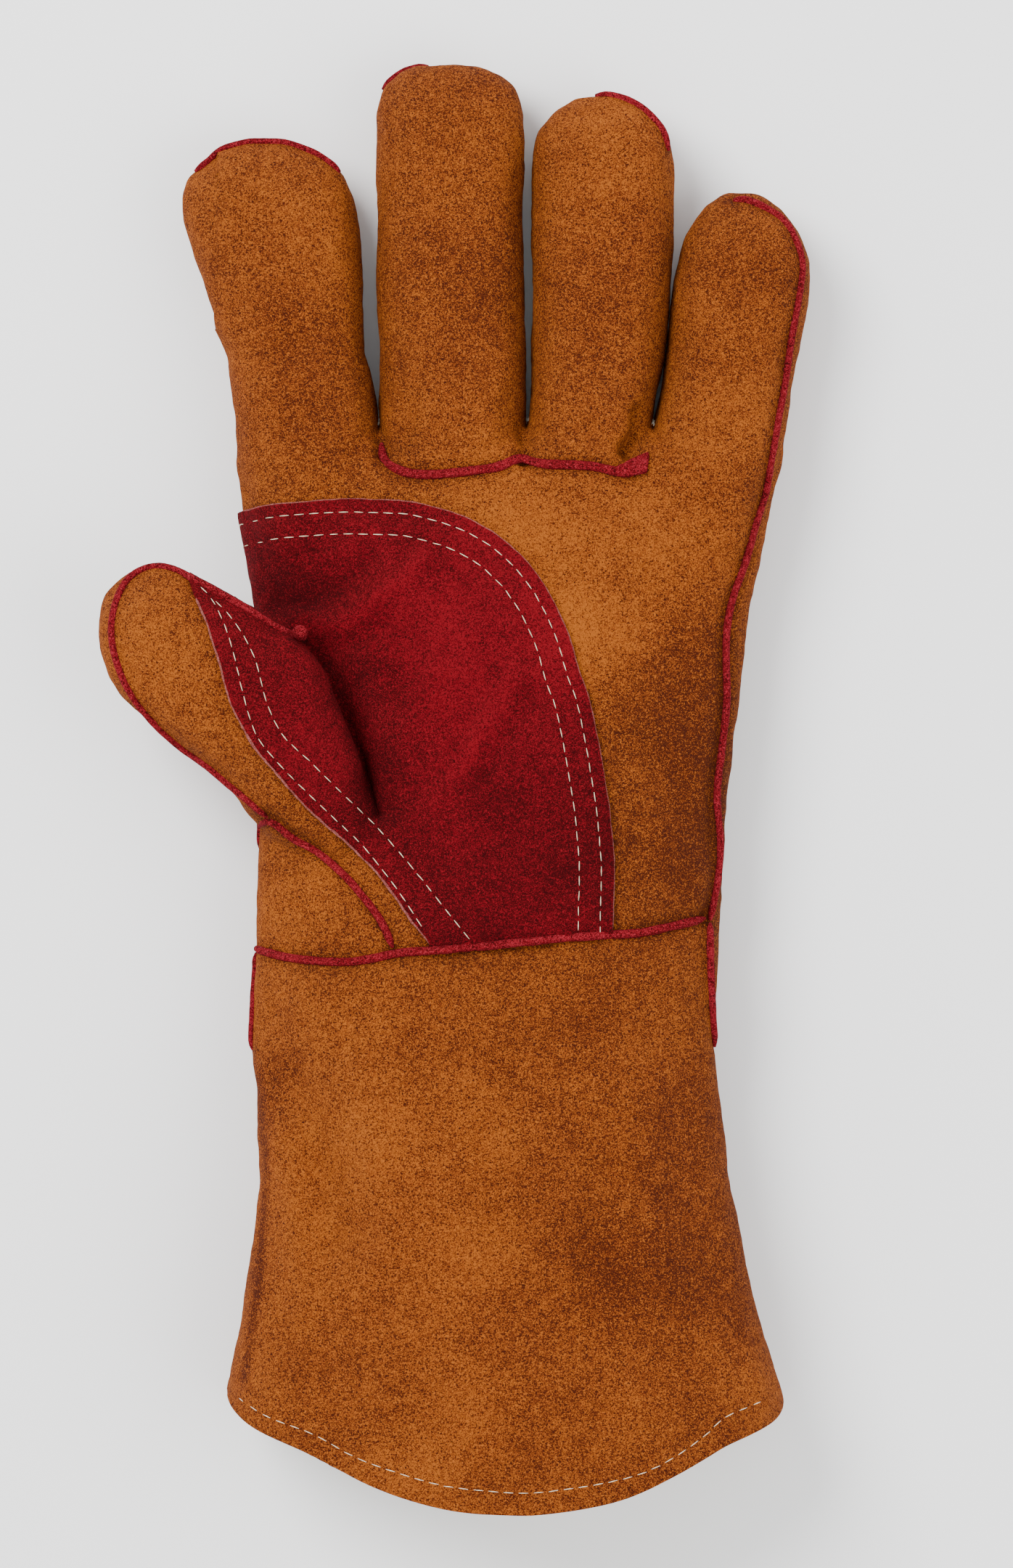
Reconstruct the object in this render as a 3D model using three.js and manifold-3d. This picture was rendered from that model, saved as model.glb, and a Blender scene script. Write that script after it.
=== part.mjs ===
// A welder's gauntlet for the left hand, lying on its back with the palm up.
// Split leather shell with a red palm patch, red piping in the seams, a cotton lining and sewn rows.
// Frame, in millimetres: X towards the little finger, Y towards the fingertips, Z up out of the palm.
// The origin is on the flat of the hand's back, under the middle of the palm.
import * as THREE from "three";
import { mergeVertices } from "three/addons/utils/BufferGeometryUtils.js";
import Module from "manifold-3d";

const wasm = await Module();
wasm.setup();

// ---- Driving dimensions ----
const LEATHER = 1.5; // split leather of the shell
const LINING = 1.0; // cotton lining
const PATCH = 1.3; // red leather of the palm patch
const GAP = 0.4; // between layers and between neighbouring pieces
const LINING_GAP = 0.7; // between the leather and the lining of the hand and the cuff
const SLACK = 1.3; // the lining hangs this loose in the fingers and the thumb
const SEAM_GAP = 0.6; // between the edges of two panels
const PIPE_RADIUS = 0.9; // red piping
const THREAD_RADIUS = 0.35; // sewing thread
const SQUARENESS = 2.6; // superellipse power of every tube's section
const WIDEST_AT = 0.44; // height of the widest point, as a share of the section's height
const REST_FLAT = 1.22; // how far the underside would bulge if the bench didn't flatten it

const WRIST_Y = -52; // middle of the seam between hand and cuff
const WRIST_SLOPE = 0.085; // the seam climbs towards the little finger
const KNUCKLE_Y = 63; // line that the fingers bend about
const KNUCKLE_GAP = 0.5; // from that line to the pieces on each side
const THUMB_BEND_X = -57; // the thumb bends about a line along the hand's edge
const HEM_CORNER_Y = -166; // hem at the side seams
const HEM_BOW = 24; // how much lower the hem hangs in the middle

// Stations of the hand and cuff along Y: y, left edge, right edge, height.
const HAND_STATIONS = [
  [-196, -69, 71, 58],
  [-166, -66.5, 68.5, 56],
  [-140, -62.2, 61.5, 52],
  [-110, -58.9, 55, 47],
  [-80, -60.5, 52, 43],
  [-52, -59.3, 53.8, 40],
  [-15, -59.5, 56, 38],
  [20, -60, 59.5, 36],
  [45, -62, 63.5, 33],
  [64, -65, 68.5, 30],
];
// Each finger: middle of its base on the knuckle line, lean in degrees, length, half width at base and tip.
const FINGERS = {
  index: { base: -47.4, lean: -10.5, length: 79.5, half: [17.3, 21.5], tip: 19 },
  middle: { base: -11.5, lean: 0, length: 97.3, half: [17.4, 17.8], tip: 14 },
  ring: { base: 22.6, lean: 2.4, length: 90.2, half: [15.9, 16.9], tip: 17 },
  little: { base: 54.3, lean: 9.5, length: 66.5, half: [14.9, 15.4], tip: 16 },
};
const FINGER_HEIGHT = [29.5, 25]; // at the knuckle and at the tip

// The thumb: where its middle line starts, its heading from +Y, length, and stations
// along it: distance, offset of the middle, half width, underside, top.
const THUMB = { start: [-38, -22], lean: -42.6, length: 79, tip: 18 };
const THUMB_STATIONS = [
  [-14, 0, 11, 12, 38],
  [8, -1, 13.5, 16, 45],
  [28, 1.8, 18.3, 23, 52],
  [45, 0.2, 18.6, 24, 53],
  [62, -2.5, 17.6, 22, 50],
  [80, -4.5, 16.5, 21, 46],
];

// Materials: golden brown suede, red suede, red piping, cream thread and cotton.
const suede = new THREE.MeshStandardMaterial({ color: 0xb4681e, roughness: 0.95, metalness: 0 });
const redSuede = new THREE.MeshStandardMaterial({ color: 0x8c1218, roughness: 0.95, metalness: 0 });
const piping = new THREE.MeshStandardMaterial({ color: 0xa8202c, roughness: 0.8, metalness: 0 });
const thread = new THREE.MeshStandardMaterial({ color: 0xe8d8b4, roughness: 0.7, metalness: 0 });
const cotton = new THREE.MeshStandardMaterial({ color: 0xd9cfb8, roughness: 1, metalness: 0 });

const rad = THREE.MathUtils.degToRad;
const lerp = THREE.MathUtils.lerp;
const glove = new THREE.Group();

function add(name, geometry, material) {
  const mesh = new THREE.Mesh(geometry, material);
  mesh.name = name;
  glove.add(mesh);
  return mesh;
}

// ---- Tubes: every part of the glove is a layer of one of these ----

// A tube runs along a straight line in plan. at(s) gives its middle's offset, half width, underside
// and top; cap() closes it at the tip.
function makeTube({ x, y, lean, length, tip, rows }) {
  const table = new THREE.CubicInterpolant(
    rows.map((row) => row[0]),
    rows.flatMap((row) => row.slice(1)),
    4,
  );
  const along = new THREE.Vector2(Math.sin(rad(lean)), Math.cos(rad(lean)));
  const across = new THREE.Vector2(along.y, -along.x);
  return { x, y, length, tip, along, across, at: (s) => [...table.evaluate(s)] };
}

// Share of the full section that is left at distance s, for a layer at this depth under the skin.
function cap(tube, s, depth) {
  if (!tube.tip) return 1;
  const past = (s - (tube.length - tube.tip)) / (tube.tip - depth);
  return past <= 0 ? 1 : Math.pow(Math.max(0, 1 - Math.pow(past, 2.4)), 1 / 2.4);
}

const rounded = (value) => Math.sign(value) * Math.abs(value) ** (2 / SQUARENESS);

// The point of a tube at distance s and an angle in degrees, where 0 is the little-finger side,
// 90 the palm, 180 the thumb side and 270 the back. Depth counts inwards from the skin.
function skin(tube, s, degrees, depth = 0) {
  const [offset, half, under, top] = tube.at(s);
  const share = cap(tube, s, depth);
  const middle = lerp(under, top, WIDEST_AT);
  const side = offset + rounded(Math.cos(rad(degrees))) * (half - depth) * share;
  const up = rounded(Math.sin(rad(degrees)));
  const reach = up > 0 ? top - middle - depth : (middle - under) * REST_FLAT - depth;
  const z = Math.max(middle + up * reach * share, under + depth);
  return new THREE.Vector3(
    tube.x + tube.along.x * s + tube.across.x * side,
    tube.y + tube.along.y * s + tube.across.y * side,
    z,
  );
}

// Moves every vertex of a geometry and keeps it as one closed mesh of positions.
function reshape(geometry, place) {
  geometry.deleteAttribute("normal");
  geometry.deleteAttribute("uv");
  const merged = mergeVertices(geometry, 1e-5);
  const position = merged.attributes.position;
  const point = new THREE.Vector3();
  for (let i = 0; i < position.count; i++) {
    point.fromBufferAttribute(position, i);
    position.setXYZ(i, ...place(point).toArray());
  }
  merged.computeVertexNormals();
  return merged;
}

// A sheet of leather or cloth bent round a tube: a thin box whose width runs over the angles,
// whose height runs along the tube and whose depth is the sheet's thickness.
function sheet(tube, { angles, from, to, depths, steps }) {
  const flat = new THREE.BoxGeometry(1, 1, 1, steps[0], steps[1], 1);
  return reshape(flat, (p) => {
    const degrees = lerp(angles[0], angles[1], p.x + 0.5);
    const depth = lerp(depths[0], depths[1], p.z + 0.5);
    const v = tube.tip ? Math.sin((p.y + 0.5) * Math.PI * 0.5) : p.y + 0.5;
    return skin(tube, lerp(from(degrees, depth), to(degrees, depth), v), degrees, depth);
  });
}

// A closed solid of the tube's inside up to a depth.
function volume(tube, from, to, depth, steps) {
  const round = new THREE.CylinderGeometry(1, 1, 1, 28, steps, false);
  return reshape(round, (p) => {
    const s = lerp(from, to, 0.5 + p.y);
    const degrees = THREE.MathUtils.radToDeg(Math.atan2(p.z, p.x));
    const edge = skin(tube, s, degrees, depth);
    const [offset, , under, top] = tube.at(s);
    const middle = new THREE.Vector3(
      tube.x + tube.along.x * s + tube.across.x * offset,
      tube.y + tube.along.y * s + tube.across.y * offset,
      lerp(under, top, WIDEST_AT),
    );
    return middle.lerp(edge, Math.hypot(p.x, p.z));
  });
}

// A round cord laid along points, with flat ends.
function cord(points, radius, sides, steps) {
  const curve = new THREE.CatmullRomCurve3(points, false, "centripetal");
  const ring = new THREE.Shape();
  for (let i = 0; i < sides; i++) {
    const a = (i / sides) * 2 * Math.PI;
    if (i) ring.lineTo(radius * Math.cos(a), radius * Math.sin(a));
    else ring.moveTo(radius, 0);
  }
  return new THREE.ExtrudeGeometry(ring, { steps, extrudePath: curve, curveSegments: 1 });
}

// ---- Solids for cutting ----

function solid(geometry) {
  const g = geometry.clone();
  for (const name of ["normal", "uv"]) g.deleteAttribute(name);
  const merged = mergeVertices(g, 1e-4);
  const made = new wasm.Manifold(
    new wasm.Mesh({
      numProp: 3,
      vertProperties: merged.attributes.position.array,
      triVerts: new Uint32Array(merged.index.array),
    }),
  );
  return made;
}

function geometryOf(manifold) {
  const largest = manifold.decompose().sort((a, b) => b.volume() - a.volume())[0];
  const { vertProperties, triVerts } = largest.getMesh();
  const g = new THREE.BufferGeometry();
  g.setAttribute("position", new THREE.BufferAttribute(vertProperties, 3));
  g.setIndex(new THREE.BufferAttribute(triVerts, 1));
  g.computeVertexNormals();
  return g;
}

// A straight-sided cutter over an outline in plan.
function cutter(points, low, high) {
  const shape = new THREE.Shape(points);
  const g = new THREE.ExtrudeGeometry(shape, { depth: high - low, bevelEnabled: false });
  return solid(g.translate(0, 0, low));
}

function rectangle(left, low, right, high) {
  return [
    [left, low],
    [right, low],
    [right, high],
    [left, high],
  ].map(([x, y]) => new THREE.Vector2(x, y));
}

// ---- The tubes ----

const handTube = makeTube({
  x: 0,
  y: 0,
  lean: 0,
  rows: HAND_STATIONS.map(([y, left, right, height]) => [
    y,
    (left + right) / 2,
    (right - left) / 2,
    0,
    height,
  ]),
});
const fingerTubes = {};
for (const [name, finger] of Object.entries(FINGERS)) {
  const [base, end] = finger.half;
  fingerTubes[name] = makeTube({
    x: finger.base,
    y: KNUCKLE_Y,
    lean: finger.lean,
    length: finger.length,
    tip: finger.tip,
    rows: [
      [0, 0, base, 0, FINGER_HEIGHT[0]],
      [finger.length / 2, 0, lerp(base, end, 0.42), 0, lerp(...FINGER_HEIGHT, 0.5)],
      [finger.length, 0, end, 0, FINGER_HEIGHT[1]],
    ],
  });
}
const thumbTube = makeTube({
  x: THUMB.start[0],
  y: THUMB.start[1],
  lean: THUMB.lean,
  length: THUMB.length,
  tip: THUMB.tip,
  rows: THUMB_STATIONS,
});

const LAYERS = {
  patch: [-GAP - PATCH, -GAP],
  leather: [0, LEATHER],
  lining: [LEATHER + LINING_GAP, LEATHER + LINING_GAP + LINING],
  looseLining: [LEATHER + SLACK, LEATHER + SLACK + LINING],
};
const PIPE_DEPTH = -GAP - PIPE_RADIUS; // piping stands on the skin
const THREAD_DEPTH = -2 * GAP - PATCH - THREAD_RADIUS; // thread on the patch
const HEM_THREAD_DEPTH = -GAP - THREAD_RADIUS;

// ---- The cuff ----

const hemY = (degrees, inset = 0) =>
  HEM_CORNER_Y + inset - HEM_BOW * Math.abs(Math.sin(rad(degrees))) ** 3;
const wristY = (degrees, depth, away) => {
  const x = skin(handTube, WRIST_Y, degrees, depth).x;
  return WRIST_Y + WRIST_SLOPE * x + away;
};
const HEM_TURN = 3; // the lining stops this far inside the hem
const HEM_ROW = 13; // sewn row above the hem

for (const [side, angles] of Object.entries({ front: [13, 179.7], back: [180.3, 371] })) {
  const span = {
    from: (a) => hemY(a),
    to: (a, d) => wristY(a, d, -SEAM_GAP),
  };
  add(
    `cuff_${side}`,
    sheet(handTube, { angles, ...span, depths: LAYERS.leather, steps: [10, 7] }),
    suede,
  );
  add(
    `cuff_${side}_lining`,
    sheet(handTube, {
      angles,
      from: (a) => hemY(a, HEM_TURN),
      to: span.to,
      depths: LAYERS.lining,
      steps: [10, 7],
    }),
    cotton,
  );
}
const hemRow = [];
for (let i = 0; i <= 16; i++) {
  const a = lerp(16, 175, i / 16);
  hemRow.push(skin(handTube, hemY(a, HEM_ROW), a, HEM_THREAD_DEPTH));
}
add("hem_thread", cord(hemRow, THREAD_RADIUS, 5, 40), thread);

// Piping in the cuff's side seams, from the wrist a third of the way down.
function sidePiping(degreesAt, from, to, count) {
  const points = [];
  for (let i = 0; i <= count; i++) {
    const y = lerp(from, to, i / count);
    points.push(skin(handTube, y, degreesAt(i / count), PIPE_DEPTH));
  }
  return cord(points, PIPE_RADIUS, 6, count * 3);
}
add("cuff_ulnar_piping", sidePiping((t) => lerp(22, 8, t), -52, -80, 4), piping);
add("cuff_radial_piping", sidePiping(() => 180, -62, -86, 4), piping);

// ---- The hand ----

const handSpan = {
  from: (a, d) => wristY(a, d, SEAM_GAP),
  to: () => KNUCKLE_Y - KNUCKLE_GAP,
};
const ULNAR_SEAM = 31; // the back wraps round the little-finger side to this angle
const palmSheet = (depths, steps) =>
  sheet(handTube, { angles: [ULNAR_SEAM + 1, 179.7], ...handSpan, depths, steps });

// The thumb's volume, which opens the palm, and the hand's, which trims the thumb.
const THUMB_CLEARANCE = -0.6;
const thumbHole = solid(volume(thumbTube, -14, THUMB.length - 0.2, THUMB_CLEARANCE, 10));
const handBody = solid(volume(handTube, -70, 80, -2 * (PIPE_RADIUS + GAP), 8));

// Plan outline of the wing: the thumb's back runs down to the wrist in the lower corner of the palm.
const WING = [
  [-90, -14],
  [-64, -17],
  [-51, -27.5],
  [-40, -36],
  [-30, -45],
  [-25.5, -56],
  [-26, -75],
  [-90, -75],
].map(([x, y]) => new THREE.Vector2(x, y));
const wingInside = cutter(WING, -5, 80);
const wingWithGap = cutter(
  WING.map((p) => new THREE.Vector2(p.x + SEAM_GAP, p.y + SEAM_GAP)),
  -5,
  80,
);
const palmWhole = solid(palmSheet(LAYERS.leather, [12, 9])).subtract(thumbHole);
add("palm_leather", geometryOf(palmWhole.subtract(wingWithGap)), suede);
add("thumb_wing", geometryOf(palmWhole.intersect(wingInside)), suede);
add("palm_lining", geometryOf(solid(palmSheet(LAYERS.lining, [12, 9])).subtract(thumbHole)), cotton);

const backSheet = (depths, steps) =>
  sheet(handTube, { angles: [180.3, 360 + ULNAR_SEAM], ...handSpan, depths, steps });
add("back_leather", backSheet(LAYERS.leather, [12, 7]), suede);
add("back_lining", backSheet(LAYERS.lining, [12, 7]), cotton);

// The patch: over the palm from the forefinger side to the wrist, and up the inside of the thumb.
const patchEdge = new THREE.CatmullRomCurve3(
  [
    [-66, 51.2],
    [-42, 54.4],
    [-23, 53.6],
    [-5, 47.8],
    [8.8, 33.4],
    [18.5, 13.2],
    [24.3, -14],
    [26.4, -36],
    [26.2, -48.6],
  ].map(([x, y]) => new THREE.Vector3(x, y, 0)),
);
const thumbEdge = new THREE.CatmullRomCurve3(
  [
    [-16.6, -52.2],
    [-27, -35.5],
    [-44, -20.2],
    [-57, -6.2],
    [-62.6, 10],
    [-67.5, 25],
    [-77, 40],
  ].map(([x, y]) => new THREE.Vector3(x, y, 0)),
);
const patchOutline = [
  ...patchEdge.getPoints(20),
  ...thumbEdge.getPoints(16),
  new THREE.Vector3(-77, 51.2, 0),
].map((p) => new THREE.Vector2(p.x, p.y));
const patchCutter = cutter(patchOutline, 8, 90);
add(
  "palm_patch",
  geometryOf(
    solid(palmSheet(LAYERS.patch, [12, 9]))
      .subtract(thumbHole)
      .intersect(patchCutter),
  ),
  redSuede,
);

// A row of thread or piping over the palm, laid on the hand's skin above points in plan.
function onHand(x, y, depth) {
  const [offset, half] = handTube.at(y);
  const share = THREE.MathUtils.clamp((x - offset) / (half - depth), -1, 1);
  const c = Math.sign(share) * Math.abs(share) ** (SQUARENESS / 2);
  return skin(handTube, y, THREE.MathUtils.radToDeg(Math.acos(c)), depth);
}
// A curve in plan moved sideways, sampled between two shares of its length.
function beside(curve, distance, first, last, count) {
  return Array.from({ length: count + 1 }, (_, i) => {
    const t = lerp(first, last, i / count);
    const p = curve.getPointAt(t);
    const d = curve.getTangentAt(t);
    return [p.x + d.y * distance, p.y - d.x * distance];
  });
}
const EDGE_ROW = 2.2; // outer sewn row, in from the patch's edge
const INNER_ROW = 8; // second row
for (const [name, inset] of Object.entries({ outer: EDGE_ROW, inner: INNER_ROW })) {
  add(
    `patch_thread_${name}`,
    cord(
      beside(patchEdge, inset, 0.07, 0.985, 14).map(([x, y]) => onHand(x, y, THREAD_DEPTH)),
      THREAD_RADIUS,
      5,
      44,
    ),
    thread,
  );
  add(
    `thenar_thread_${name}`,
    cord(
      beside(thumbEdge, inset, 0.03, 0.2, 5).map(([x, y]) => onHand(x, y, THREAD_DEPTH)),
      THREAD_RADIUS,
      5,
      12,
    ),
    thread,
  );
}

// Piping across the base of the two middle fingers, down the little-finger side, round the wrist
// and down the thumb's seam.
const BASE_SEAM = [
  [-28.6, 61],
  [-25, 58.8],
  [-14, 58.2],
  [-2, 59.4],
  [3.9, 60.6],
  [12, 59.6],
  [26, 58.6],
  [34.5, 59.6],
];
add(
  "finger_base_piping",
  cord(BASE_SEAM.map(([x, y]) => onHand(x, y, PIPE_DEPTH)), PIPE_RADIUS, 6, 24),
  piping,
);
const ulnar = [];
for (let i = 0; i <= 8; i++) {
  const y = lerp(KNUCKLE_Y - 3, WRIST_Y + 12, i / 8);
  ulnar.push(skin(handTube, y, ULNAR_SEAM + 1, PIPE_DEPTH));
}
add("ulnar_piping", cord(ulnar, PIPE_RADIUS, 6, 24), piping);
const wristRing = [];
for (let i = 0; i <= 14; i++) {
  const a = lerp(14, 174, i / 14);
  wristRing.push(skin(handTube, wristY(a, 0, -SEAM_GAP - 0.5), a, PIPE_DEPTH));
}
add("wrist_piping", cord(wristRing, PIPE_RADIUS, 6, 36), piping);
const WING_SEAM = [
  [-47, -30.5],
  [-39, -37],
  [-30.5, -44.5],
  [-27.3, -49],
];
add(
  "wing_piping",
  cord(WING_SEAM.map(([x, y]) => onHand(x, y, PIPE_DEPTH)), PIPE_RADIUS, 6, 12),
  piping,
);

// ---- The fingers ----

// Angles that each leather piece of a finger covers. The forefinger's front wraps round the thumb
// side and the little finger's back wraps round the outer side, so neither has a wall there.
const WALL = 24;
const FINGER_PIECES = {
  index: { front: [WALL, 204], back: [207, 334], wall: [337, 381] },
  middle: { front: [WALL, 154], back: [206, 334], radial_wall: [157, 203], wall: [337, 381] },
  ring: { front: [WALL, 154], back: [206, 334], radial_wall: [157, 203], wall: [337, 381] },
  little: { front: [48, 154], back: [206, 405], radial_wall: [157, 203] },
};
const TIP_SLIT = 0.03; // the pieces stop this far short of the tip

// Distance along a finger at which its skin crosses the knuckle line.
function knuckle(tube, degrees, depth) {
  const y = KNUCKLE_Y + KNUCKLE_GAP;
  const side = skin(tube, 0, degrees, depth);
  return (y - side.y) / tube.along.y;
}
for (const [finger, pieces] of Object.entries(FINGER_PIECES)) {
  const tube = fingerTubes[finger];
  const span = {
    from: (a, d) => knuckle(tube, a, d),
    to: (a, d) => tube.length - d - TIP_SLIT,
  };
  for (const [piece, angles] of Object.entries(pieces)) {
    const across = piece.includes("wall") ? 2 : angles[1] - angles[0] > 160 ? 7 : 5;
    const name = piece === "wall" ? `${finger}_ulnar_wall` : `${finger}_${piece}`;
    add(name, sheet(tube, { angles, ...span, depths: LAYERS.leather, steps: [across, 8] }), suede);
  }
  add(
    `${finger}_lining`,
    sheet(tube, { angles: [5, 355], ...span, depths: LAYERS.looseLining, steps: [10, 6] }),
    cotton,
  );
  // Piping over the tip, in the plane of the seam between front and back.
  const reach = finger === "little" ? 14 : tube.tip * 0.8;
  const arc = [];
  for (let i = -4; i <= 4; i++) {
    const a = i < 0 ? 22 : 158;
    const s = tube.length - reach * (Math.abs(i) / 4) ** 1.6 - 0.4;
    const p = skin(tube, s, i === 0 ? 90 : a, 0);
    const [, , under, top] = tube.at(s);
    if (i === 0) p.z = lerp(under, top, WIDEST_AT) + 1;
    const centre = skin(tube, tube.length - tube.tip, 90, 0).setZ(p.z);
    arc.push(p.add(p.clone().sub(centre).setZ(0).setLength(-PIPE_DEPTH + 0.3)));
  }
  add(`${finger}_tip_piping`, cord(arc, PIPE_RADIUS, 6, 16), piping);
}

// ---- The thumb ----

const THUMB_SEAMS = { radial: 152, ulnar: 8 }; // angles of the seams between its front and back
const thumbSpan = { from: () => -13, to: (a, d) => THUMB.length - d - TIP_SLIT };
const thumbSheet = (angles, depths, steps) =>
  solid(sheet(thumbTube, { angles, ...thumbSpan, depths, steps })).subtract(handBody);
const { radial, ulnar: inner } = THUMB_SEAMS;
const THUMB_LAYERS = {
  front: [[inner + 2, radial - 2], LAYERS.leather, [7, 9], suede],
  back: [[radial + 2, 358 + inner], LAYERS.leather, [9, 9], suede],
  lining: [[12, 366], LAYERS.looseLining, [12, 8], cotton],
  patch: [[inner + 10, radial - 10], LAYERS.patch, [8, 9], redSuede],
};
// The thumb bends at the hand's edge, so each layer is a root on the hand and a free part.
const rootSide = cutter(rectangle(THUMB_BEND_X + KNUCKLE_GAP, -120, 0, 120), -5, 90);
const freeSide = cutter(rectangle(-150, -120, THUMB_BEND_X - KNUCKLE_GAP, 120), -5, 90);
for (const [layer, [angles, depths, steps, material]] of Object.entries(THUMB_LAYERS)) {
  const whole = thumbSheet(angles, depths, steps);
  const cut = layer === "patch" ? whole.intersect(patchCutter) : whole;
  add(`thumb_root_${layer}`, geometryOf(cut.intersect(rootSide)), material);
  add(`thumb_${layer}`, geometryOf(cut.intersect(freeSide)), material);
}
// Its piping goes over the tip and comes back down the outer seam to the hand's edge.
const thumbRing = [];
for (const [s, a] of [
  [56, inner],
  [63, inner],
  [69, inner],
  [76, inner + 6],
  [81.8, 90],
  [76, radial - 6],
  [69, radial],
  [58, radial],
  [47, radial],
  [38, radial],
]) {
  const p = skin(thumbTube, s, a, PIPE_DEPTH - 0.6);
  if (s > THUMB.length) p.z = 34;
  thumbRing.push(p);
}
add("thumb_piping", cord(thumbRing, PIPE_RADIUS, 6, 40), piping);

export default glove;
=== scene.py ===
# %% [markdown]
# A welder's gauntlet lies on its back, palm up. It is sewn from split leather: suede on the
# outside, a cotton lining inside, red piping in the seams and a red patch over the palm and the
# thumb. The CAD model gives the sizes and the joints. Here every layer gets its real surface.

import math

import bmesh
import bpy
import numpy as np
from mathutils import Matrix, Vector, noise
from mathutils.bvhtree import BVHTree


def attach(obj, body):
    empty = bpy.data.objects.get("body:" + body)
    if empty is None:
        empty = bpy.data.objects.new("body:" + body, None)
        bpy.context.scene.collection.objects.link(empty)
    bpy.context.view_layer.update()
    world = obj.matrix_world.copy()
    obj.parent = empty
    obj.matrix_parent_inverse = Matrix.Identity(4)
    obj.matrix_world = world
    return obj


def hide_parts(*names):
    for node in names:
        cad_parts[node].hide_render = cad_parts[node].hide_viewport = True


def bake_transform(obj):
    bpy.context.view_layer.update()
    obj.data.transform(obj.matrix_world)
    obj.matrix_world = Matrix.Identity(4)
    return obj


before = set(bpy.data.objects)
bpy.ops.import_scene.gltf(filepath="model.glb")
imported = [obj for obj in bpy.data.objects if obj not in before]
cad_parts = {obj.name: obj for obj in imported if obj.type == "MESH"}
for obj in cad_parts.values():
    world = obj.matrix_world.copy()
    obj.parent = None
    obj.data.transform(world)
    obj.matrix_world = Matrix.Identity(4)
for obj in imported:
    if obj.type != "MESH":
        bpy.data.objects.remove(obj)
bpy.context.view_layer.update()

# %% [markdown]
# A glove is easiest to think of as tubes: one for the cuff and hand, one for each finger and one
# for the thumb. Each tube is lofted through closed sections, and each section is a circle that is
# squared off a little and pressed flat where it lies on the bench. All of this is worked out in
# millimetres, and each finished piece is scaled to metres at the end.

# %% Sections and lofts
SIDES = 56
SQUARENESS = 2.5
WIDEST_AT = 0.45
FLATTENING = 1.2


def add_section(bm, centre, across, half, low, high):
    """Adds one closed ring: half its width each way along across, from low to high."""
    ring = bmesh.ops.create_circle(bm, segments=SIDES, radius=1)["verts"]
    middle = low + (high - low) * WIDEST_AT
    for v in ring:
        side = math.copysign(abs(v.co.x) ** (2 / SQUARENESS), v.co.x)
        up = math.copysign(abs(v.co.y) ** (2 / SQUARENESS), v.co.y)
        reach = high - middle if up > 0 else (middle - low) * FLATTENING
        v.co = Vector(centre) + Vector(across) * side * half
        v.co.z = max(middle + up * reach, low)


def loft(bm, sections):
    """Bridges ring after ring and closes both ends."""
    rings = []
    for centre, across, half, low, high in sections:
        before = set(bm.edges)
        add_section(bm, centre, across, half, low, high)
        rings.append([e for e in bm.edges if e not in before])
    for a, b in zip(rings, rings[1:]):
        bmesh.ops.bridge_loops(bm, edges=a + b)
    for end in (rings[0], rings[-1]):
        bmesh.ops.contextual_create(bm, geom=end)


# %% [markdown]
# The hand and cuff share one tube, so the shell runs on smoothly under the wrist seam. Its
# sections give the left edge, the right edge and the height at each distance from the origin.

# %% Sizes of the hand and cuff
HAND = [  # y, left, right, low, high
    (-202, -67.5, 74, 0, 57),
    (-190, -66.6, 73, 0, 56.5),
    (-176, -65.6, 72, 0, 55.5),
    (-162, -64, 70.8, 0, 54.5),
    (-151, -61.4, 67.4, 0, 53.5),
    (-141, -59.6, 64.8, 0, 52),
    (-130, -58.2, 62, 0, 50.5),
    (-109, -56.4, 57.8, 0, 47.3),
    (-88, -56.9, 55.2, 0, 44.4),
    (-77, -58, 54.4, 0, 42.8),
    (-66, -57.5, 55, 0, 41),
    (-54, -56.8, 56, 0, 39.2),
    (-45, -56.5, 56.6, 0, 39),
    (-24, -56, 57.8, 0, 38.4),
    (-3, -55.8, 59.6, 0, 37.6),
    (18, -55.8, 61.9, 0, 36.6),
    (28, -56.1, 62.8, 0, 36),
    (38, -58.2, 64.7, 0, 35),
    (49, -60.1, 67, 0, 33.6),
    (58, -61, 69.4, 0, 32),
    (64, -61.6, 71, 0.5, 30.5),
    (68, -61, 71, 3, 27.5),
    (71, -58, 68, 7, 22),
]

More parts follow.
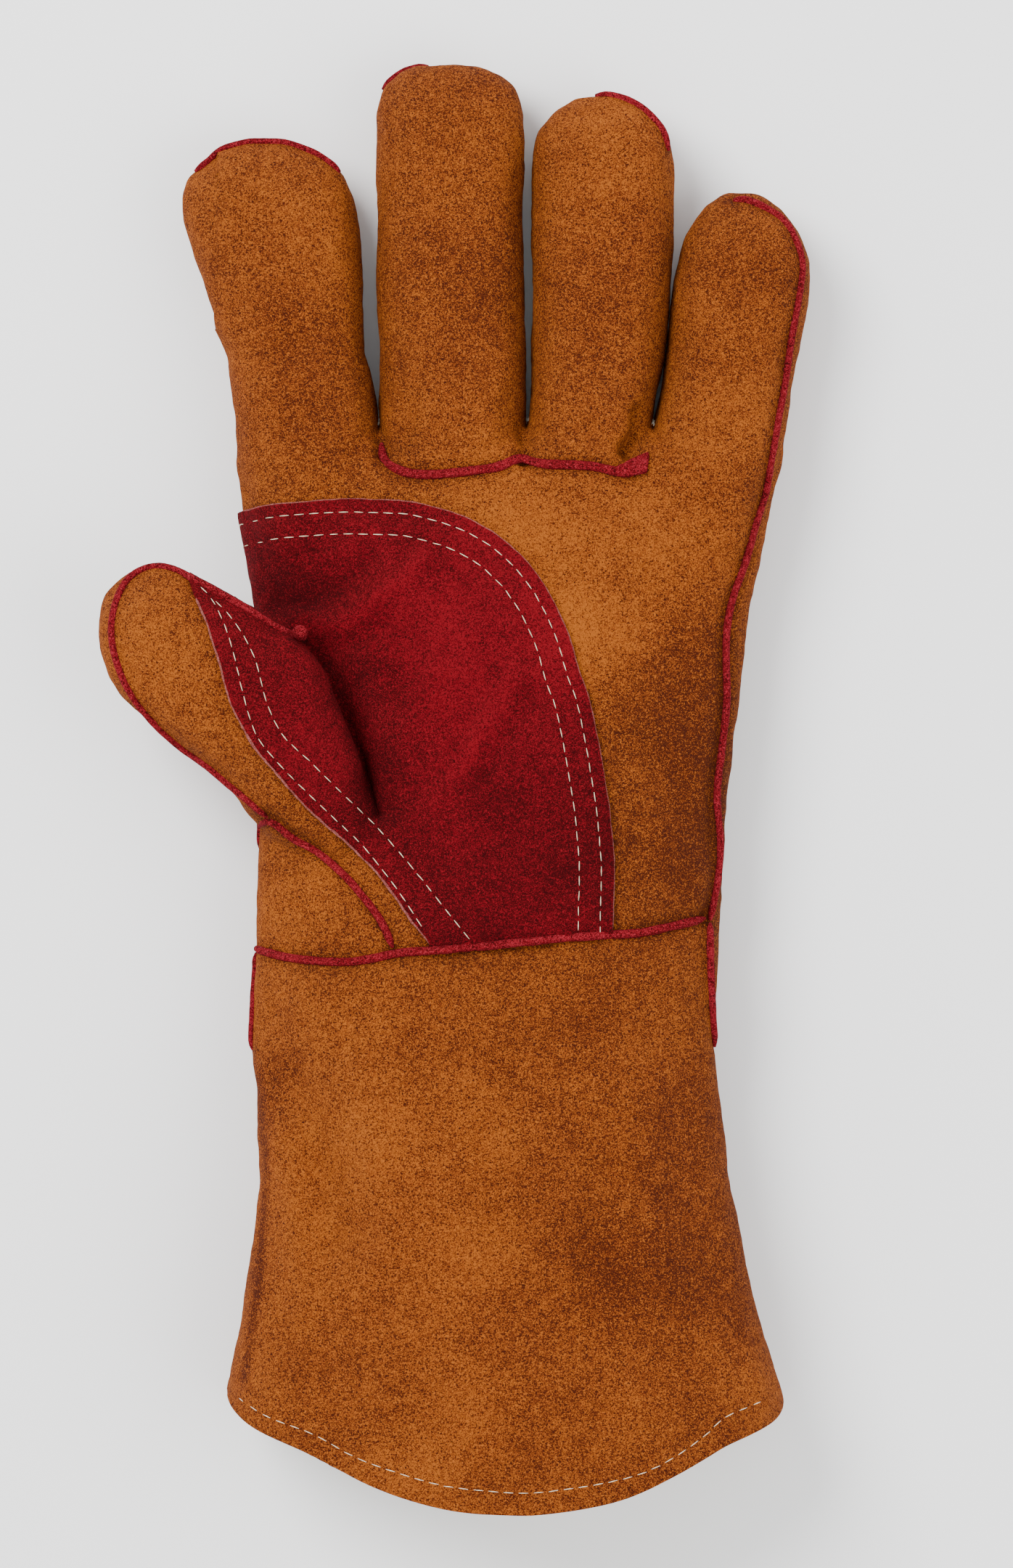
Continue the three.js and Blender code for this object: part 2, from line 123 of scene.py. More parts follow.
# %% Sizes of the fingers and the thumb
FINGERS = {  # y, middle, half width, low, high
    "index": [
        (22, -40, 6, 10, 26),
        (46, -43.2, 14.5, 1.5, 31),
        (64, -44.2, 17, 0, 30.5),
        (76, -44.7, 17.3, 0, 30),
        (86, -46.3, 17.4, 0, 29.4),
        (91, -47.3, 17, 0, 29.2),
        (97, -48.9, 18.4, 0, 29),
        (107, -51, 19.8, 0, 28.6),
        (118, -53, 21.5, 0, 28),
        (124, -54.2, 22, 0, 27.4),
        (129, -54.8, 21.6, 1, 26.5),
        (133.6, -54.8, 19.6, 2.5, 24.5),
        (138.2, -54.9, 14.2, 5.5, 21),
        (140.8, -54.8, 7.5, 8.5, 17.5),
    ],
    "middle": [
        (46, -9.6, 14, 1, 31),
        (64, -9.1, 17.1, 0, 31),
        (81, -9.1, 17.8, 0, 30.4),
        (102, -9.6, 18.0, 0, 29.4),
        (123, -9.5, 17.8, 0, 28.4),
        (144, -9.5, 18.4, 0.4, 27),
        (150, -9.7, 18.3, 1.4, 26),
        (154.8, -9.8, 16.8, 3.5, 23.5),
        (158.2, -10, 13.4, 6, 20.5),
        (160.4, -10.1, 8.4, 9, 17),
    ],
    "ring": [
        (46, 23, 12.6, 1, 31),
        (64, 23.5, 14.2, 0, 31),
        (81, 25.2, 15.3, 0, 30),
        (88, 26.2, 15.9, 0, 29.4),
        (102, 27, 16.4, 0, 29),
        (118, 27.1, 17.2, 0, 28.2),
        (133, 27.3, 17.4, 0.2, 27),
        (139.6, 27.3, 17.2, 1.2, 26),
        (144.6, 27.1, 16.1, 3, 24),
        (149.6, 26.9, 12.2, 6, 20.5),
        (152.4, 26.6, 7.0, 9, 17),
    ],
    "little": [
        (22, 46, 6, 10, 24),
        (46, 52.6, 13.5, 1.5, 30),
        (64, 54.4, 16, 0, 30),
        (81, 57.3, 15.6, 0, 29),
        (91.4, 59.3, 15.9, 0, 28.4),
        (102, 60.4, 16.3, 0, 27.8),
        (108, 61.1, 16.3, 0.4, 27.2),
        (114, 61.7, 15.6, 1.2, 26.2),
        (120, 61.8, 13.6, 3, 24.4),
        (125.4, 61.6, 10, 6, 21),
        (129, 61.2, 5.2, 9, 17.4),
    ],
}
THUMB_START = Vector((-40, -12, 0))
THUMB_AHEAD = Vector((-0.794, 0.607, 0))
THUMB_ACROSS = Vector((0.607, 0.794, 0))
THUMB = [  # along, offset of the middle, half width, low, high
    (-18, -10, 8, 12, 35),
    (-14, -9, 10, 12, 38),
    (-5, -5.7, 14.3, 12, 41.5),
    (2, -3.3, 16.7, 12, 44.5),
    (9, -0.5, 18.5, 13, 47.5),
    (14, 1.7, 19.1, 14, 49),
    (19, 2.9, 19.4, 15.5, 50),
    (26, 3, 19.1, 17.5, 50.8),
    (38, 2.6, 18.2, 20, 51),
    (50, 2.4, 16.9, 21.5, 49),
    (56, 3.2, 15.2, 22.5, 47.5),
    (60.5, 4.4, 13.2, 24, 45.5),
    (64, 5.1, 10.2, 26.5, 43),
    (66.5, 5.6, 6.9, 29.5, 40),
    (68.3, 5, 3, 32.5, 37),
]
X_AXIS = Vector((1, 0, 0))

# %% [markdown]
# Neighbouring fingers lie less than two millimetres apart, and the next step would weld them
# together. So beyond the knuckles each finger is lofted slimmer than it is, and its sides are
# filled out again once the skin is made.

# %% Loft every tube
form = bmesh.new()
loft(
    form,
    [(((l + r) / 2, y, 0), X_AXIS, (r - l) / 2, lo, hi) for y, l, r, lo, hi in HAND],
)
PLUMP = 1.2


def beyond_knuckles(y):
    return min(max((y - 60) / 12, 0), 1)


for rows in FINGERS.values():
    loft(
        form,
        [
            ((x, y, 0), X_AXIS, half - PLUMP * beyond_knuckles(y), lo, hi)
            for y, x, half, lo, hi in rows
        ],
    )
loft(
    form,
    [
        (THUMB_START + THUMB_AHEAD * s + THUMB_ACROSS * t, THUMB_ACROSS, half, lo, hi)
        for s, t, half, lo, hi in THUMB
    ],
)
bmesh.ops.recalc_face_normals(form, faces=form.faces)
print("lofts", len(form.verts), "points")

# %% [markdown]
# The tubes cross each other. A voxel remesh fills space with small cubes and wraps one skin round
# all of them, so the crossings vanish and the crotches between the fingers close. The steps that
# the cubes leave are smoothed away afterwards. A boolean union would keep the sections' long thin
# faces, which don't take wrinkles.

# %% One skin over all the tubes
VOXEL = 1.05
SMOOTHING = 7


def object_from(bm, name):
    mesh = bpy.data.meshes.new(name)
    bm.to_mesh(mesh)
    obj = bpy.data.objects.new(name, mesh)
    bpy.context.scene.collection.objects.link(obj)
    return obj


def apply_modifiers(obj):
    """Swaps the object's mesh for the one its modifiers make."""
    bpy.context.view_layer.update()
    shaped = obj.evaluated_get(bpy.context.evaluated_depsgraph_get())
    mesh = bpy.data.meshes.new_from_object(shaped)
    obj.modifiers.clear()
    obj.data = mesh
    return obj


blank = object_from(form, "glove_form")
remesh = blank.modifiers.new("one_skin", "REMESH")
remesh.mode = "VOXEL"
remesh.voxel_size = VOXEL
smooth = blank.modifiers.new("smooth", "SMOOTH")
smooth.iterations = SMOOTHING
smooth.factor = 0.5
apply_modifiers(blank)
print("skin", len(blank.data.vertices), "points")

# %% [markdown]
# Real leather is never a clean tube. Three things change it: broad hollows and swellings where the
# hand filled it, soft folds where it creases, and a narrow valley along each seam where the thread
# pulls the edges in. Each is a move of the skin's points along their normals, by an amount that
# falls off with the distance from a line drawn in plan.

# %% Lines of the seams, in plan
FINGER_BASE = [
    (-26.2, 68.4), (-26.2, 65), (-23.6, 62.6), (-20.2, 61.2), (-16, 60.7), (-10, 61),
    (-4.2, 61.7), (0.2, 62.2), (3.3, 63.1), (6.2, 64.7), (8.3, 65), (10.4, 63.8),
    (14.2, 63.3), (19.5, 63.1), (25, 62.8), (29.2, 61.7), (33, 60.9), (35.4, 61),
]
ULNAR_SEAM = [
    (59.1, 127.6), (61.9, 127.9), (66.5, 126), (71.2, 122.9), (74, 118), (75.6, 112.2),
    (74.7, 104.2), (73.3, 96.3), (71.6, 84.9), (69.8, 74.9), (67.7, 62.6), (66.6, 56.3),
    (63.8, 47.3), (61.5, 38.7), (58.7, 31.1), (57.1, 20.9), (57.3, 5.8), (56.1, -5.4),
    (54.9, -16.9), (55.7, -28.1), (55.2, -35.7), (53.6, -45), (53.2, -48),
]
WRIST_SEAM = [
    (-58.5, -54), (-56.1, -54.3), (-50.3, -55.9), (-43.1, -56.8), (-34.5, -57.1), (-29, -56.4),
    (-22, -54.9), (-11.1, -54), (-3.2, -53.3), (6.3, -52.4), (16.5, -51.3), (28.3, -50.5),
    (36, -50.1), (45.5, -48.2), (52.6, -46.6), (58, -45.5),
]
WING_SEAM = [
    (-56.5, -24.6), (-53.1, -22.5), (-47.8, -26.9), (-41.7, -30.2), (-37.1, -34.3),
    (-33.1, -38.3), (-29.7, -42.4), (-26.2, -47.1), (-24.3, -51.2), (-23.2, -54.5),
]
HEM = [
    (-75, -150), (-65, -157.5), (-63.8, -162), (-61.6, -165.4), (-56.1, -169.4), (-44.5, -174.3),
    (-37.3, -177.8), (-28.3, -182.2), (-17.6, -185.9), (-6.7, -188.2), (5.8, -188.9),
    (13, -188.7), (23.7, -187.3), (33.6, -184.8), (43.4, -180.4), (51.5, -176.1), (57, -173),
    (63.3, -170.4), (68.6, -167.8), (71, -165.2), (72.2, -162), (80, -156),
]
PATCH_TOP = [
    (-66, 51.6), (-60.3, 52), (-53.3, 53.3), (-44.3, 54.1), (-35.2, 54.5), (-26, 54.3),
    (-20, 54), (-14.1, 52.7), (-7.9, 50.8), (-3.2, 48.7), (1.8, 45.7), (6.7, 41.5),
    (10.2, 37.6), (13.9, 32.3), (16.9, 26.4), (19.3, 20.4), (21.4, 13), (23.6, 7),
    (25.7, -2.6), (27.1, -10.7), (28.5, -19.3), (29.2, -26.4), (29.7, -32.7), (29.7, -39.2),
    (29.5, -44.7), (29.5, -52),
]
PATCH_THUMB = [
    (-19, -60), (-14.6, -52.9), (-18.8, -47.1), (-22.9, -41.1), (-27.6, -35), (-35, -27.6),
    (-40.4, -22.9), (-46.4, -16.9), (-51.8, -10.7), (-56.6, -4.7), (-60, 1.2), (-62.6, 7.4),
    (-64.3, 13.4), (-65.9, 18.8), (-68, 24.8), (-70.7, 30.2), (-72.6, 35), (-74, 40),
]
THUMB_ROW_OUTER = [
    (-14.2, -52), (-19.7, -43.4), (-24.3, -36.9), (-30.8, -28.9), (-37.8, -22.1), (-44.8, -15.3),
    (-50.6, -9.3), (-56, -2.3), (-59, 7), (-61.2, 16.3), (-63.4, 23.4), (-66.6, 29.9),
    (-70.4, 34.2),
]
THUMB_ROW_INNER = [
    (-4.5, -52), (-11.4, -43.4), (-19, -33.9), (-27.2, -24.6), (-34.3, -17.6), (-43.6, -8.3),
    (-49.8, -2.2), (-53.6, 5.8), (-55.9, 14.6), (-58.6, 20.6), (-62.6, 26.4), (-67, 30.8),
]
MOUND_FOLD = [
    (-46.2, 21.4), (-41.1, 17.6), (-38.1, 13.4), (-36.2, 8.1), (-33.4, 0), (-30.7, -8.1),
    (-28.8, -16.2), (-27.4, -21.6),
]


def along(points, step=1.0):
    """Points every step millimetres along a smooth curve through the given ones."""
    line = [Vector(p) for p in points]
    ends = [line[0] * 2 - line[1]] + line + [line[-1] * 2 - line[-2]]
    dense = []
    for a, b, c, d in zip(ends, ends[1:], ends[2:], ends[3:]):
        for i in range(8):
            t = i / 8
            dense.append(
                0.5 * (2 * b + (c - a) * t + (2 * a - 5 * b + 4 * c - d) * t**2
                       + (3 * b - a - 3 * c + d) * t**3)
            )
    dense.append(line[-1])
    out = [dense[0]]
    left = step
    for p, q in zip(dense, dense[1:]):
        gap = (q - p).length
        while gap >= left:
            p = p.lerp(q, left / gap)
            gap -= left
            out.append(p)
            left = step
        left -= gap
    return out


def beside(points, distance):
    """A plan curve moved sideways, to its right for a positive distance."""
    line = along(points, 2.0)
    out = []
    for i, p in enumerate(line):
        d = (line[min(i + 1, len(line) - 1)] - line[max(i - 1, 0)]).normalized()
        out.append(Vector((p.x + d.y * distance, p.y - d.x * distance)))
    return out


# %% Broad shape, folds and seam valleys
def mesh_arrays(mesh):
    n = len(mesh.vertices)
    co = np.empty(n * 3)
    normals = np.empty(n * 3)
    mesh.vertices.foreach_get("co", co)
    mesh.vertex_normals.foreach_get("vector", normals)
    return co.reshape(-1, 3), normals.reshape(-1, 3)


def far_from(co, line):
    """Distance in plan from every point to a line."""
    samples = np.array([(p[0], p[1]) for p in line])
    best = np.full(len(co), 1e9)
    for s in samples:
        np.minimum(best, (co[:, 0] - s[0]) ** 2 + (co[:, 1] - s[1]) ** 2, out=best)
    return np.sqrt(best)


FOLDS = [  # line in plan, width, height (negative is a hollow)
    ([(-49, 17), (-45, 12), (-42, 6), (-39, -2), (-35.5, -11)], 4.5, 2.2),
    ([(-45, 25.8), (-36.6, 24.6), (-29.5, 29.4), (-22.5, 34), (-15.5, 41)], 2.4, 1.3),
    ([(-50.6, 30), (-45, 30), (-37, 34), (-29, 40)], 4, -1.7),
    ([(-40, 20), (-32, 21), (-25, 25)], 3, -1.1),
    ([(5.6, 12.8), (-0.4, 1.2), (-6.2, -9.3), (-13.2, -18.8)], 2.6, 1.1),
    ([(9, 8), (3.4, -3), (-3, -14)], 3.5, -1.0),
    ([(-14, 12), (-20, 0), (-24, -12)], 3, 0.9),
    ([(-33, 45), (-18, 28), (-6, 14)], 6, 0.9),
    ([(-36, 30), (-22, 18), (-8, 2)], 7, -0.8),
    ([(-20, 10), (-6, -8), (4, -26)], 7, -0.9),
    ([(-26, -2), (-12, -22), (-4, -40)], 6, 0.8),
    ([(2, 30), (8, 12), (10, -6)], 8, 0.7),
    ([(38, 30), (44, 8), (42, -20)], 9, -1.1),
    ([(26, 44), (34, 28), (38, 12)], 7, 1.0),
    ([(36, -5), (46, -14), (52, -28)], 5, -0.9),
    ([(40, -24), (48, -32), (53, -40)], 4, 0.6),
    ([(-24, 67), (-20, 71), (-20, 78)], 3, -1.4),
    ([(-27, 73), (-22, 66), (-14, 65)], 2.6, 0.7),
    ([(36, 66), (30, 69), (24, 72)], 2.6, -1.2),
    ([(9, 66), (6, 72), (4, 80)], 3, -0.9),
    ([(-62, 92), (-54, 90), (-46, 93)], 4, -1.2),
    ([(-60, 74), (-52, 72), (-44, 74)], 5, -0.5),
    ([(-22, 100), (-10, 98), (4, 101)], 7, -0.6),
    ([(-24, 128), (-10, 126), (6, 128)], 8, -0.5),
    ([(14, 96), (26, 92), (40, 97)], 7, -0.7),
    ([(14, 124), (28, 118), (40, 122)], 8, -0.5),
    ([(46, 92), (58, 88), (70, 92)], 6, -0.7),
    ([(48, 76), (58, 72), (68, 76)], 5, -0.6),
    ([(-54, -70), (-47, -92), (-41, -108), (-38, -124)], 6, -2.6),
    ([(-50, -100), (-47, -120), (-46, -140)], 4.5, 1.4),
    ([(-30, -84), (-28, -104), (-22, -124)], 6, 1.2),
    ([(3, -84), (-1, -104), (4, -122)], 5, -1.5),
    ([(14, -100), (18, -116), (16, -132)], 5, 1.3),
    ([(30, -96), (27, -120), (22, -146)], 6, -1.2),
    ([(-38, -64), (-30, -96), (-24, -130)], 12, 1.0),
    ([(10, -62), (6, -96), (-2, -130)], 13, -1.0),
    ([(28, -60), (34, -92), (44, -130)], 11, 1.2),
    ([(48, -70), (46, -100), (52, -132)], 8, -1.2),
    ([(-10, -140), (0, -160), (4, -184)], 14, 1.0),
    ([(-46, -140), (-40, -160), (-36, -176)], 10, -1.0),
    ([(36, -140), (44, -158), (50, -172)], 10, -1.0),
    ([(-75, 14), (-66, 4), (-58, -2)], 6, -0.8),
    ([(-84, 26), (-74, 22), (-66, 24)], 6, 0.6),
]
SEAM_VALLEYS = [  # line, width, depth
    (FINGER_BASE, 2.2, 1.5),
    (ULNAR_SEAM, 1.8, 1.1),
    (WRIST_SEAM, 2.6, 1.6),
    (WING_SEAM, 2.0, 1.2),
    (MOUND_FOLD, 1.7, 5.0),
    (beside(MOUND_FOLD, -2.4), 3.4, 2.4),
    ([(8.2, 76), (8.3, 70), (8.3, 65)], 1.5, 3.0),
    ([(-27.4, 78), (-26.8, 72), (-26, 67)], 1.5, 3.0),
    ([(36, 76), (35.5, 70), (33, 66)], 1.8, 3.0),
]
SEWN_ROWS = [beside(PATCH_TOP, 2.9), beside(PATCH_TOP, 8.2), THUMB_ROW_OUTER, THUMB_ROW_INNER]
SEAM_VALLEYS += [(row, 1.1, 0.4) for row in SEWN_ROWS]
co, normals = mesh_arrays(blank.data)
FACING_SLOPE = 1.6
SIDE_SLOPE = 1.3
THUMB_SIDE = -66
BENCH_SHARE = 0.25
FREE_ABOVE = 12
WANDER = [  # height, waves per millimetre, shift
    (1.0, 0.028, (0, 0, 0)), (0.55, 0.07, (7, 3, 1)), (0.26, 0.19, (0, 0, 0)),
    (0.14, 0.42, (0, 0, 0)),
]
facing = np.clip(normals[:, 2] * FACING_SLOPE, 0, 1)
lift = np.zeros(len(co))
for line, width, height in FOLDS:
    lift += height * facing * np.exp(-((far_from(co, along(line, 2.0)) / width) ** 2))
for line, width, depth in SEAM_VALLEYS:
    lift -= depth * facing * np.exp(-((far_from(co, along(line, 1.0)) / width) ** 2))
for i, p in enumerate(co):
    q = Vector(p)
    freedom = min(1.0, BENCH_SHARE + max(0.0, q.z) / FREE_ABOVE)
    if q.x > THUMB_SIDE:
        side_on = math.hypot(normals[i][0], normals[i][1])
        lift[i] += PLUMP * beyond_knuckles(q.y) * min(1.0, side_on * SIDE_SLOPE)
    lift[i] += freedom * sum(
        height * noise.noise(q * waves + Vector(shift)) for height, waves, shift in WANDER
    )
moved = co + normals * lift[:, None]
moved[:, 2] = np.maximum(moved[:, 2], 0)
blank.data.vertices.foreach_set("co", moved.ravel())
blank.data.update()
print("moved the skin by up to", round(float(np.abs(lift).max()), 2), "mm")

# %% [markdown]
# Suede is dyed in a drum, so its colour wanders: broad pale and dark places where the hide took
# the dye differently, and grime in the seams. That wandering is kept as one number on each point,
# called tone, which the leather materials read later and break up with finer noise. Painted light
# and shade go into the same number: painted highlights on the ridges of folds and on some broad
# spots, painted shade in the hollows of folds, down the right side of the palm and the cuff and in
# the seams, and a painted shadow along the fold of the thumb's mound.

# %% Tone of the hide, with painted light and shade
# Some spots are the dye's own pale and dark places. The big pale spot on the palm and the one on
# the ring finger's tip are painted highlights, and the dark spots down the right side of the palm
# and of the cuff are painted shade.
DYE_LIGHT_AND_SHADE_SPOTS = [  # x, y, radius, strength
    (22, 40, 18, 1.0), (20, 22, 11, 0.9), (33, 22, 8, 0.5), (6, 57, 16, 0.4), (40, 38, 16, 0.35),
    (50, 14, 17, -0.75), (48, -14, 22, -1.0), (44, -36, 16, -0.7), (60, -40, 12, -0.3),
    (-32, -80, 18, 0.5), (-40, -114, 18, 0.75), (-6, -122, 20, 0.8), (22, -122, 16, -0.5),
    (48, -96, 20, -0.55), (48, -125, 18, -0.5), (36, -142, 30, -0.45), (-4, -174, 20, 0.5),
    (20, -70, 12, -0.4), (-58, -90, 10, -0.4), (-58, -130, 10, -0.3), (66, -160, 10, 0.2),
    (-52, 124, 15, 0.75), (-48, 100, 14, -0.1), (-58, 62, 16, 0.1), (-10, 110, 30, -0.35),
    (26, 140, 15, 0.8), (28, 100, 20, -0.1), (64, 112, 14, -0.5), (56, 90, 12, -0.1),
    (50, 70, 14, 0.3), (-52, -46, 14, 0.6), (-85, 18, 12, 0.6), (-74, 6, 12, 0.0),
    (-13, 26, 20, 0.6), (-4, 0, 18, 0.6), (-45, 33, 12, -0.9), (-14, -20, 20, -0.4),
    (10, -38, 24, -0.5), (-30, 12, 8, -0.7), (-24, -10, 8, -0.5), (-44, -8, 12, 0.1),
]
LEFT_CUFF_SEAM = [
    (-58, -79), (-55.7, -96), (-54.4, -108), (-55.2, -123), (-56.5, -139), (-59.5, -158),
]
# Lines of painted light and shade, and of grime in the seams.
LIGHT_SHADE_AND_GRIME_LINES = [  # line, width, strength
    # Painted highlights along the ridges of folds and painted shade along their hollows.
    ([(-45, 25.8), (-36.6, 24.6), (-29.5, 29.4), (-22.5, 34), (-15.5, 41)], 1.7, 0.9),
    ([(-50.6, 30), (-45, 30), (-37, 34), (-29, 40)], 3.0, -0.7),
    ([(5.6, 12.8), (-0.4, 1.2), (-6.2, -9.3), (-13.2, -18.8)], 1.9, 0.6),
    ([(9, 8), (3.4, -3), (-3, -14)], 2.2, -0.5),
    # The seams' dark lines are partly grime and partly painted shade; the line along the thumb's
    # mound fold is painted shadow.
    (LEFT_CUFF_SEAM, 1.1, -1.8),
    (MOUND_FOLD, 2.2, -1.6),
    (FINGER_BASE, 2.2, -0.9),
    (WRIST_SEAM, 2.0, -0.7),
    (WING_SEAM, 1.8, -0.8),
    (ULNAR_SEAM, 1.8, -0.6),
]
TONE_WANDER = 0.35
tone = np.zeros(len(moved))
for line, width, strength in LIGHT_SHADE_AND_GRIME_LINES:
    tone += strength * np.exp(-((far_from(moved, along(line, 0.8)) / width) ** 2)) * facing
for x, y, radius, strength in DYE_LIGHT_AND_SHADE_SPOTS:
    d2 = (moved[:, 0] - x) ** 2 + (moved[:, 1] - y) ** 2
    tone += strength * np.exp(-d2 / radius**2)
for i, p in enumerate(moved):
    tone[i] += TONE_WANDER * noise.noise(Vector(p) * 0.045 + Vector((3, 9, 4)))
layer = blank.data.attributes.new("tone", "FLOAT", "POINT")
layer.data.foreach_set("value", tone.astype(np.float32))
print("tone from", round(tone.min(), 2), "to", round(tone.max(), 2))

# %% [markdown]
# The pattern of a glove is cut along curved lines, and each panel has to stop exactly on its line.
# Blender's bisect only cuts along a plane. So each point's height is swapped for its distance from
# the line, the mesh is bisected where that is zero, and the heights are put back from a stored
# copy. This gives a clean cut along any line at all.

# %% Cut the skin along any line
skin = bmesh.new()
skin.from_mesh(blank.data)
home = skin.verts.layers.float_vector.new("home")
above = BVHTree.FromBMesh(skin)


def cut_where(field, near):
    """Cuts the faces that pass near(centre) along the line where field(point) is zero."""
    faces = [f for f in skin.faces if near(f.calc_center_median())]
    edges = list({e for f in faces for e in f.edges})
    verts = list({v for f in faces for v in f.verts})
    for v in skin.verts:
        v[home] = v.co
    for v in verts:
        v.co.z = field(v.co.copy())
    bmesh.ops.bisect_plane(
        skin, geom=faces + edges + verts, dist=1e-5, plane_co=(0, 0, 0), plane_no=(0, 0, 1)
    )
    for v in skin.verts:
        v.co = v[home]


def graph(points, key=0):
    """The curve as a function of x, or of y where key is 1."""
    line = sorted((p[key], p[1 - key]) for p in along(points, 0.7))
    xs = np.array([p[0] for p in line])
    ys = np.array([p[1] for p in line])
    return lambda value: float(np.interp(value, xs, ys))


OVERHEAD = 90
DOWN = Vector((0, 0, -1))
MOST_MISSES = 16
STEP_INWARD = 0.35


def laid(points, tree=None, step=1.0):
    """A plan curve laid on top of the glove: a ray goes down at each of its points, and one that
    misses moves towards the glove's middle line."""
    out = []
    for p in along([Vector(p[:2]) for p in points], step):
        x = p.x
        for _ in range(MOST_MISSES):
            hit, normal, *_ = (tree or above).ray_cast(Vector((x, p.y, OVERHEAD)), DOWN)
            if hit:
                out.append((hit, normal))
                break
            x -= math.copysign(STEP_INWARD, x)
    return out


# %% Lines that part the panels
KNUCKLES = [
    (-90, 64), (-60, 64), (-40, 64), (-28, 64), (-25, 62.8), (-20.2, 61.2), (-16, 60.7),
    (-4.2, 61.7), (3.3, 63.1), (8.3, 64.6), (14.2, 63.3), (25, 62.8), (29.2, 61.7), (33, 60.9),
    (37, 62), (41, 64), (60, 64), (90, 64),
]
LEFT_SEAM = [  # x, y, z: low on the wall of the forefinger and hand, and up on the cuff's shoulder
    (-75, 130, 7), (-62, 90, 7), (-62, 60, 8), (-60, 40, 10), (-56, 20, 12), (-56, -10, 13),
    (-56, -30, 15), (-57, -50, 17), (-57.5, -62, 18), (-57.8, -78, 21), (-56.4, -92, 24),
    (-55.7, -108, 27), (-54.7, -118, 31), (-54.7, -129, 33), (-56.1, -140, 33),
    (-58.7, -150, 32), (-60.3, -156, 32), (-62.5, -166, 31), (-64, -200, 31),
]
CUFF_RIGHT = [(53.2, -48), (53.1, -54.5), (53.4, -64), (53.8, -72), (54.3, -79), (55.2, -90)]
RIGHT_SEAM = [(p.x, p.y, p.z) for p, _ in laid(ULNAR_SEAM + CUFF_RIGHT[1:], step=2.0)] + [
    (58, -112, 22), (62, -132, 23), (68, -155, 24), (72, -200, 24),
]
THUMB_SEAM = [
    (-46.8, 21.1), (-51.2, 23.2), (-57.1, 26.9), (-65.2, 31.6), (-70.7, 34.6), (-75.4, 37),
    (-80, 38.2), (-84, 37.2), (-87.2, 34.9), (-89.5, 30.4), (-90.7, 24.8), (-90.5, 19.5),
    (-88.9, 13.4), (-86.4, 8.1), (-83.9, 4.4), (-79.5, -0.5), (-74.2, -5.2), (-68.3, -9.3),
    (-63.6, -13.3), (-58.3, -17.7), (-53.1, -22.3),
]
knuckles = graph(KNUCKLES)
wrist = graph([(-90, -53), (-70, -53.5)] + WRIST_SEAM + [(70, -45), (90, -44.5)])
hem = graph(HEM)
wing = graph(WING_SEAM)
THUMB_CUT_X = -58.5
WALL_LOW = 8.0
WALL_HIGH = 17.5
WALL_END = 20.0
TIPS = {name: rows[-1][0] for name, rows in FINGERS.items()}
CENTRES = {
    name: ([r[0] for r in rows], [r[1] for r in rows]) for name, rows in FINGERS.items()
}
HALVES = {
    name: ([r[0] for r in rows], [r[2] for r in rows]) for name, rows in FINGERS.items()
}
WEBS = [  # finger, x where the next finger starts at y = 64, slope of that line
    ("index", -26.9, -0.02), ("middle", 8.85, 0.006), ("ring", 38.1, 0.18), ("little", 99, 0),
]


def is_thumb(p):
    beyond = THUMB_CUT_X - p.x
    return beyond > 0 and -46 < p.y < 31 + 0.55 * beyond


def finger_of(p):
    """The finger that a point beyond the knuckles belongs to."""
    if p.y < 77:
        return next(name for name, x, slope in WEBS if p.x < x + slope * (p.y - 64))
    return min(
        CENTRES,
        key=lambda n: abs(p.x - np.interp(p.y, *CENTRES[n])) / np.interp(p.y, *HALVES[n]),
    )


def nearest_height(line):
    """The height of a line's nearest point, in plan."""
    table = np.array(line)

    def height(p):
        d2 = (table[:, 0] - p.x) ** 2 + (table[:, 1] - p.y) ** 2
        return float(table[int(np.argmin(d2)), 2])

    return height


def height_by_y(line):
    """The height of a side seam as a function of y."""
    rows = sorted((p[1], p[2]) for p in line)
    ys = np.array([r[0] for r in rows])
    zs = np.array([r[1] for r in rows])
    return lambda p: float(np.interp(p.y, ys, zs))


left_height = height_by_y(LEFT_SEAM)
right_height = height_by_y(RIGHT_SEAM)
thumb_height = nearest_height([p for p, _ in laid(THUMB_SEAM)])


def seam_height(p):
    """The height that parts front from back at this point of the glove."""
    if is_thumb(p):
        return thumb_height(p)
    if p.y > knuckles(p.x):
        name = finger_of(p)
        middle = float(np.interp(p.y, *CENTRES[name]))
        if name == "little" and p.x > middle:
            return right_height(p)
        if name == "index" and p.x < middle and p.y < TIPS["index"] - WALL_END:
            return WALL_LOW
        return WALL_HIGH
    return left_height(p) if p.x < 0 else right_height(p)


# %% [markdown]
# The red patch is one closed outline in plan. A point's signed distance from it, negative inside,
# serves both to cut the skin along the patch's edge and to tell which faces lie under the patch.

# %% Outline of the patch
PATCH_OUTLINE = [
    (p.x, p.y)
    for p in along(PATCH_TOP, 1.5) + along(PATCH_THUMB, 1.5) + [Vector((-76, 51.6))]
]
outline_a = np.array(PATCH_OUTLINE)
outline_b = np.roll(outline_a, -1, axis=0)


def from_patch(p):
    """Distance from the patch's outline in plan, negative inside it."""
    here = np.array((p.x, p.y))
    edge = outline_b - outline_a
    t = np.clip(((here - outline_a) * edge).sum(1) / (edge**2).sum(1), 0, 1)
    gap = outline_a + edge * t[:, None] - here
    d = math.sqrt(float((gap**2).sum(1).min()))
    crosses = (outline_a[:, 1] > p.y) != (outline_b[:, 1] > p.y)
    a, b = outline_a[crosses], outline_b[crosses]
    x = a[:, 0] + (p.y - a[:, 1]) / (b[:, 1] - a[:, 1]) * (b[:, 0] - a[:, 0])
    return -d if int((x > p.x).sum()) % 2 else d


# %% [markdown]
# Now every line is cut. At the hem there are two more lines inside the edge, one where the lining
# ends and one as far in as the leather is turned. Last, whatever lies below the hem is deleted.

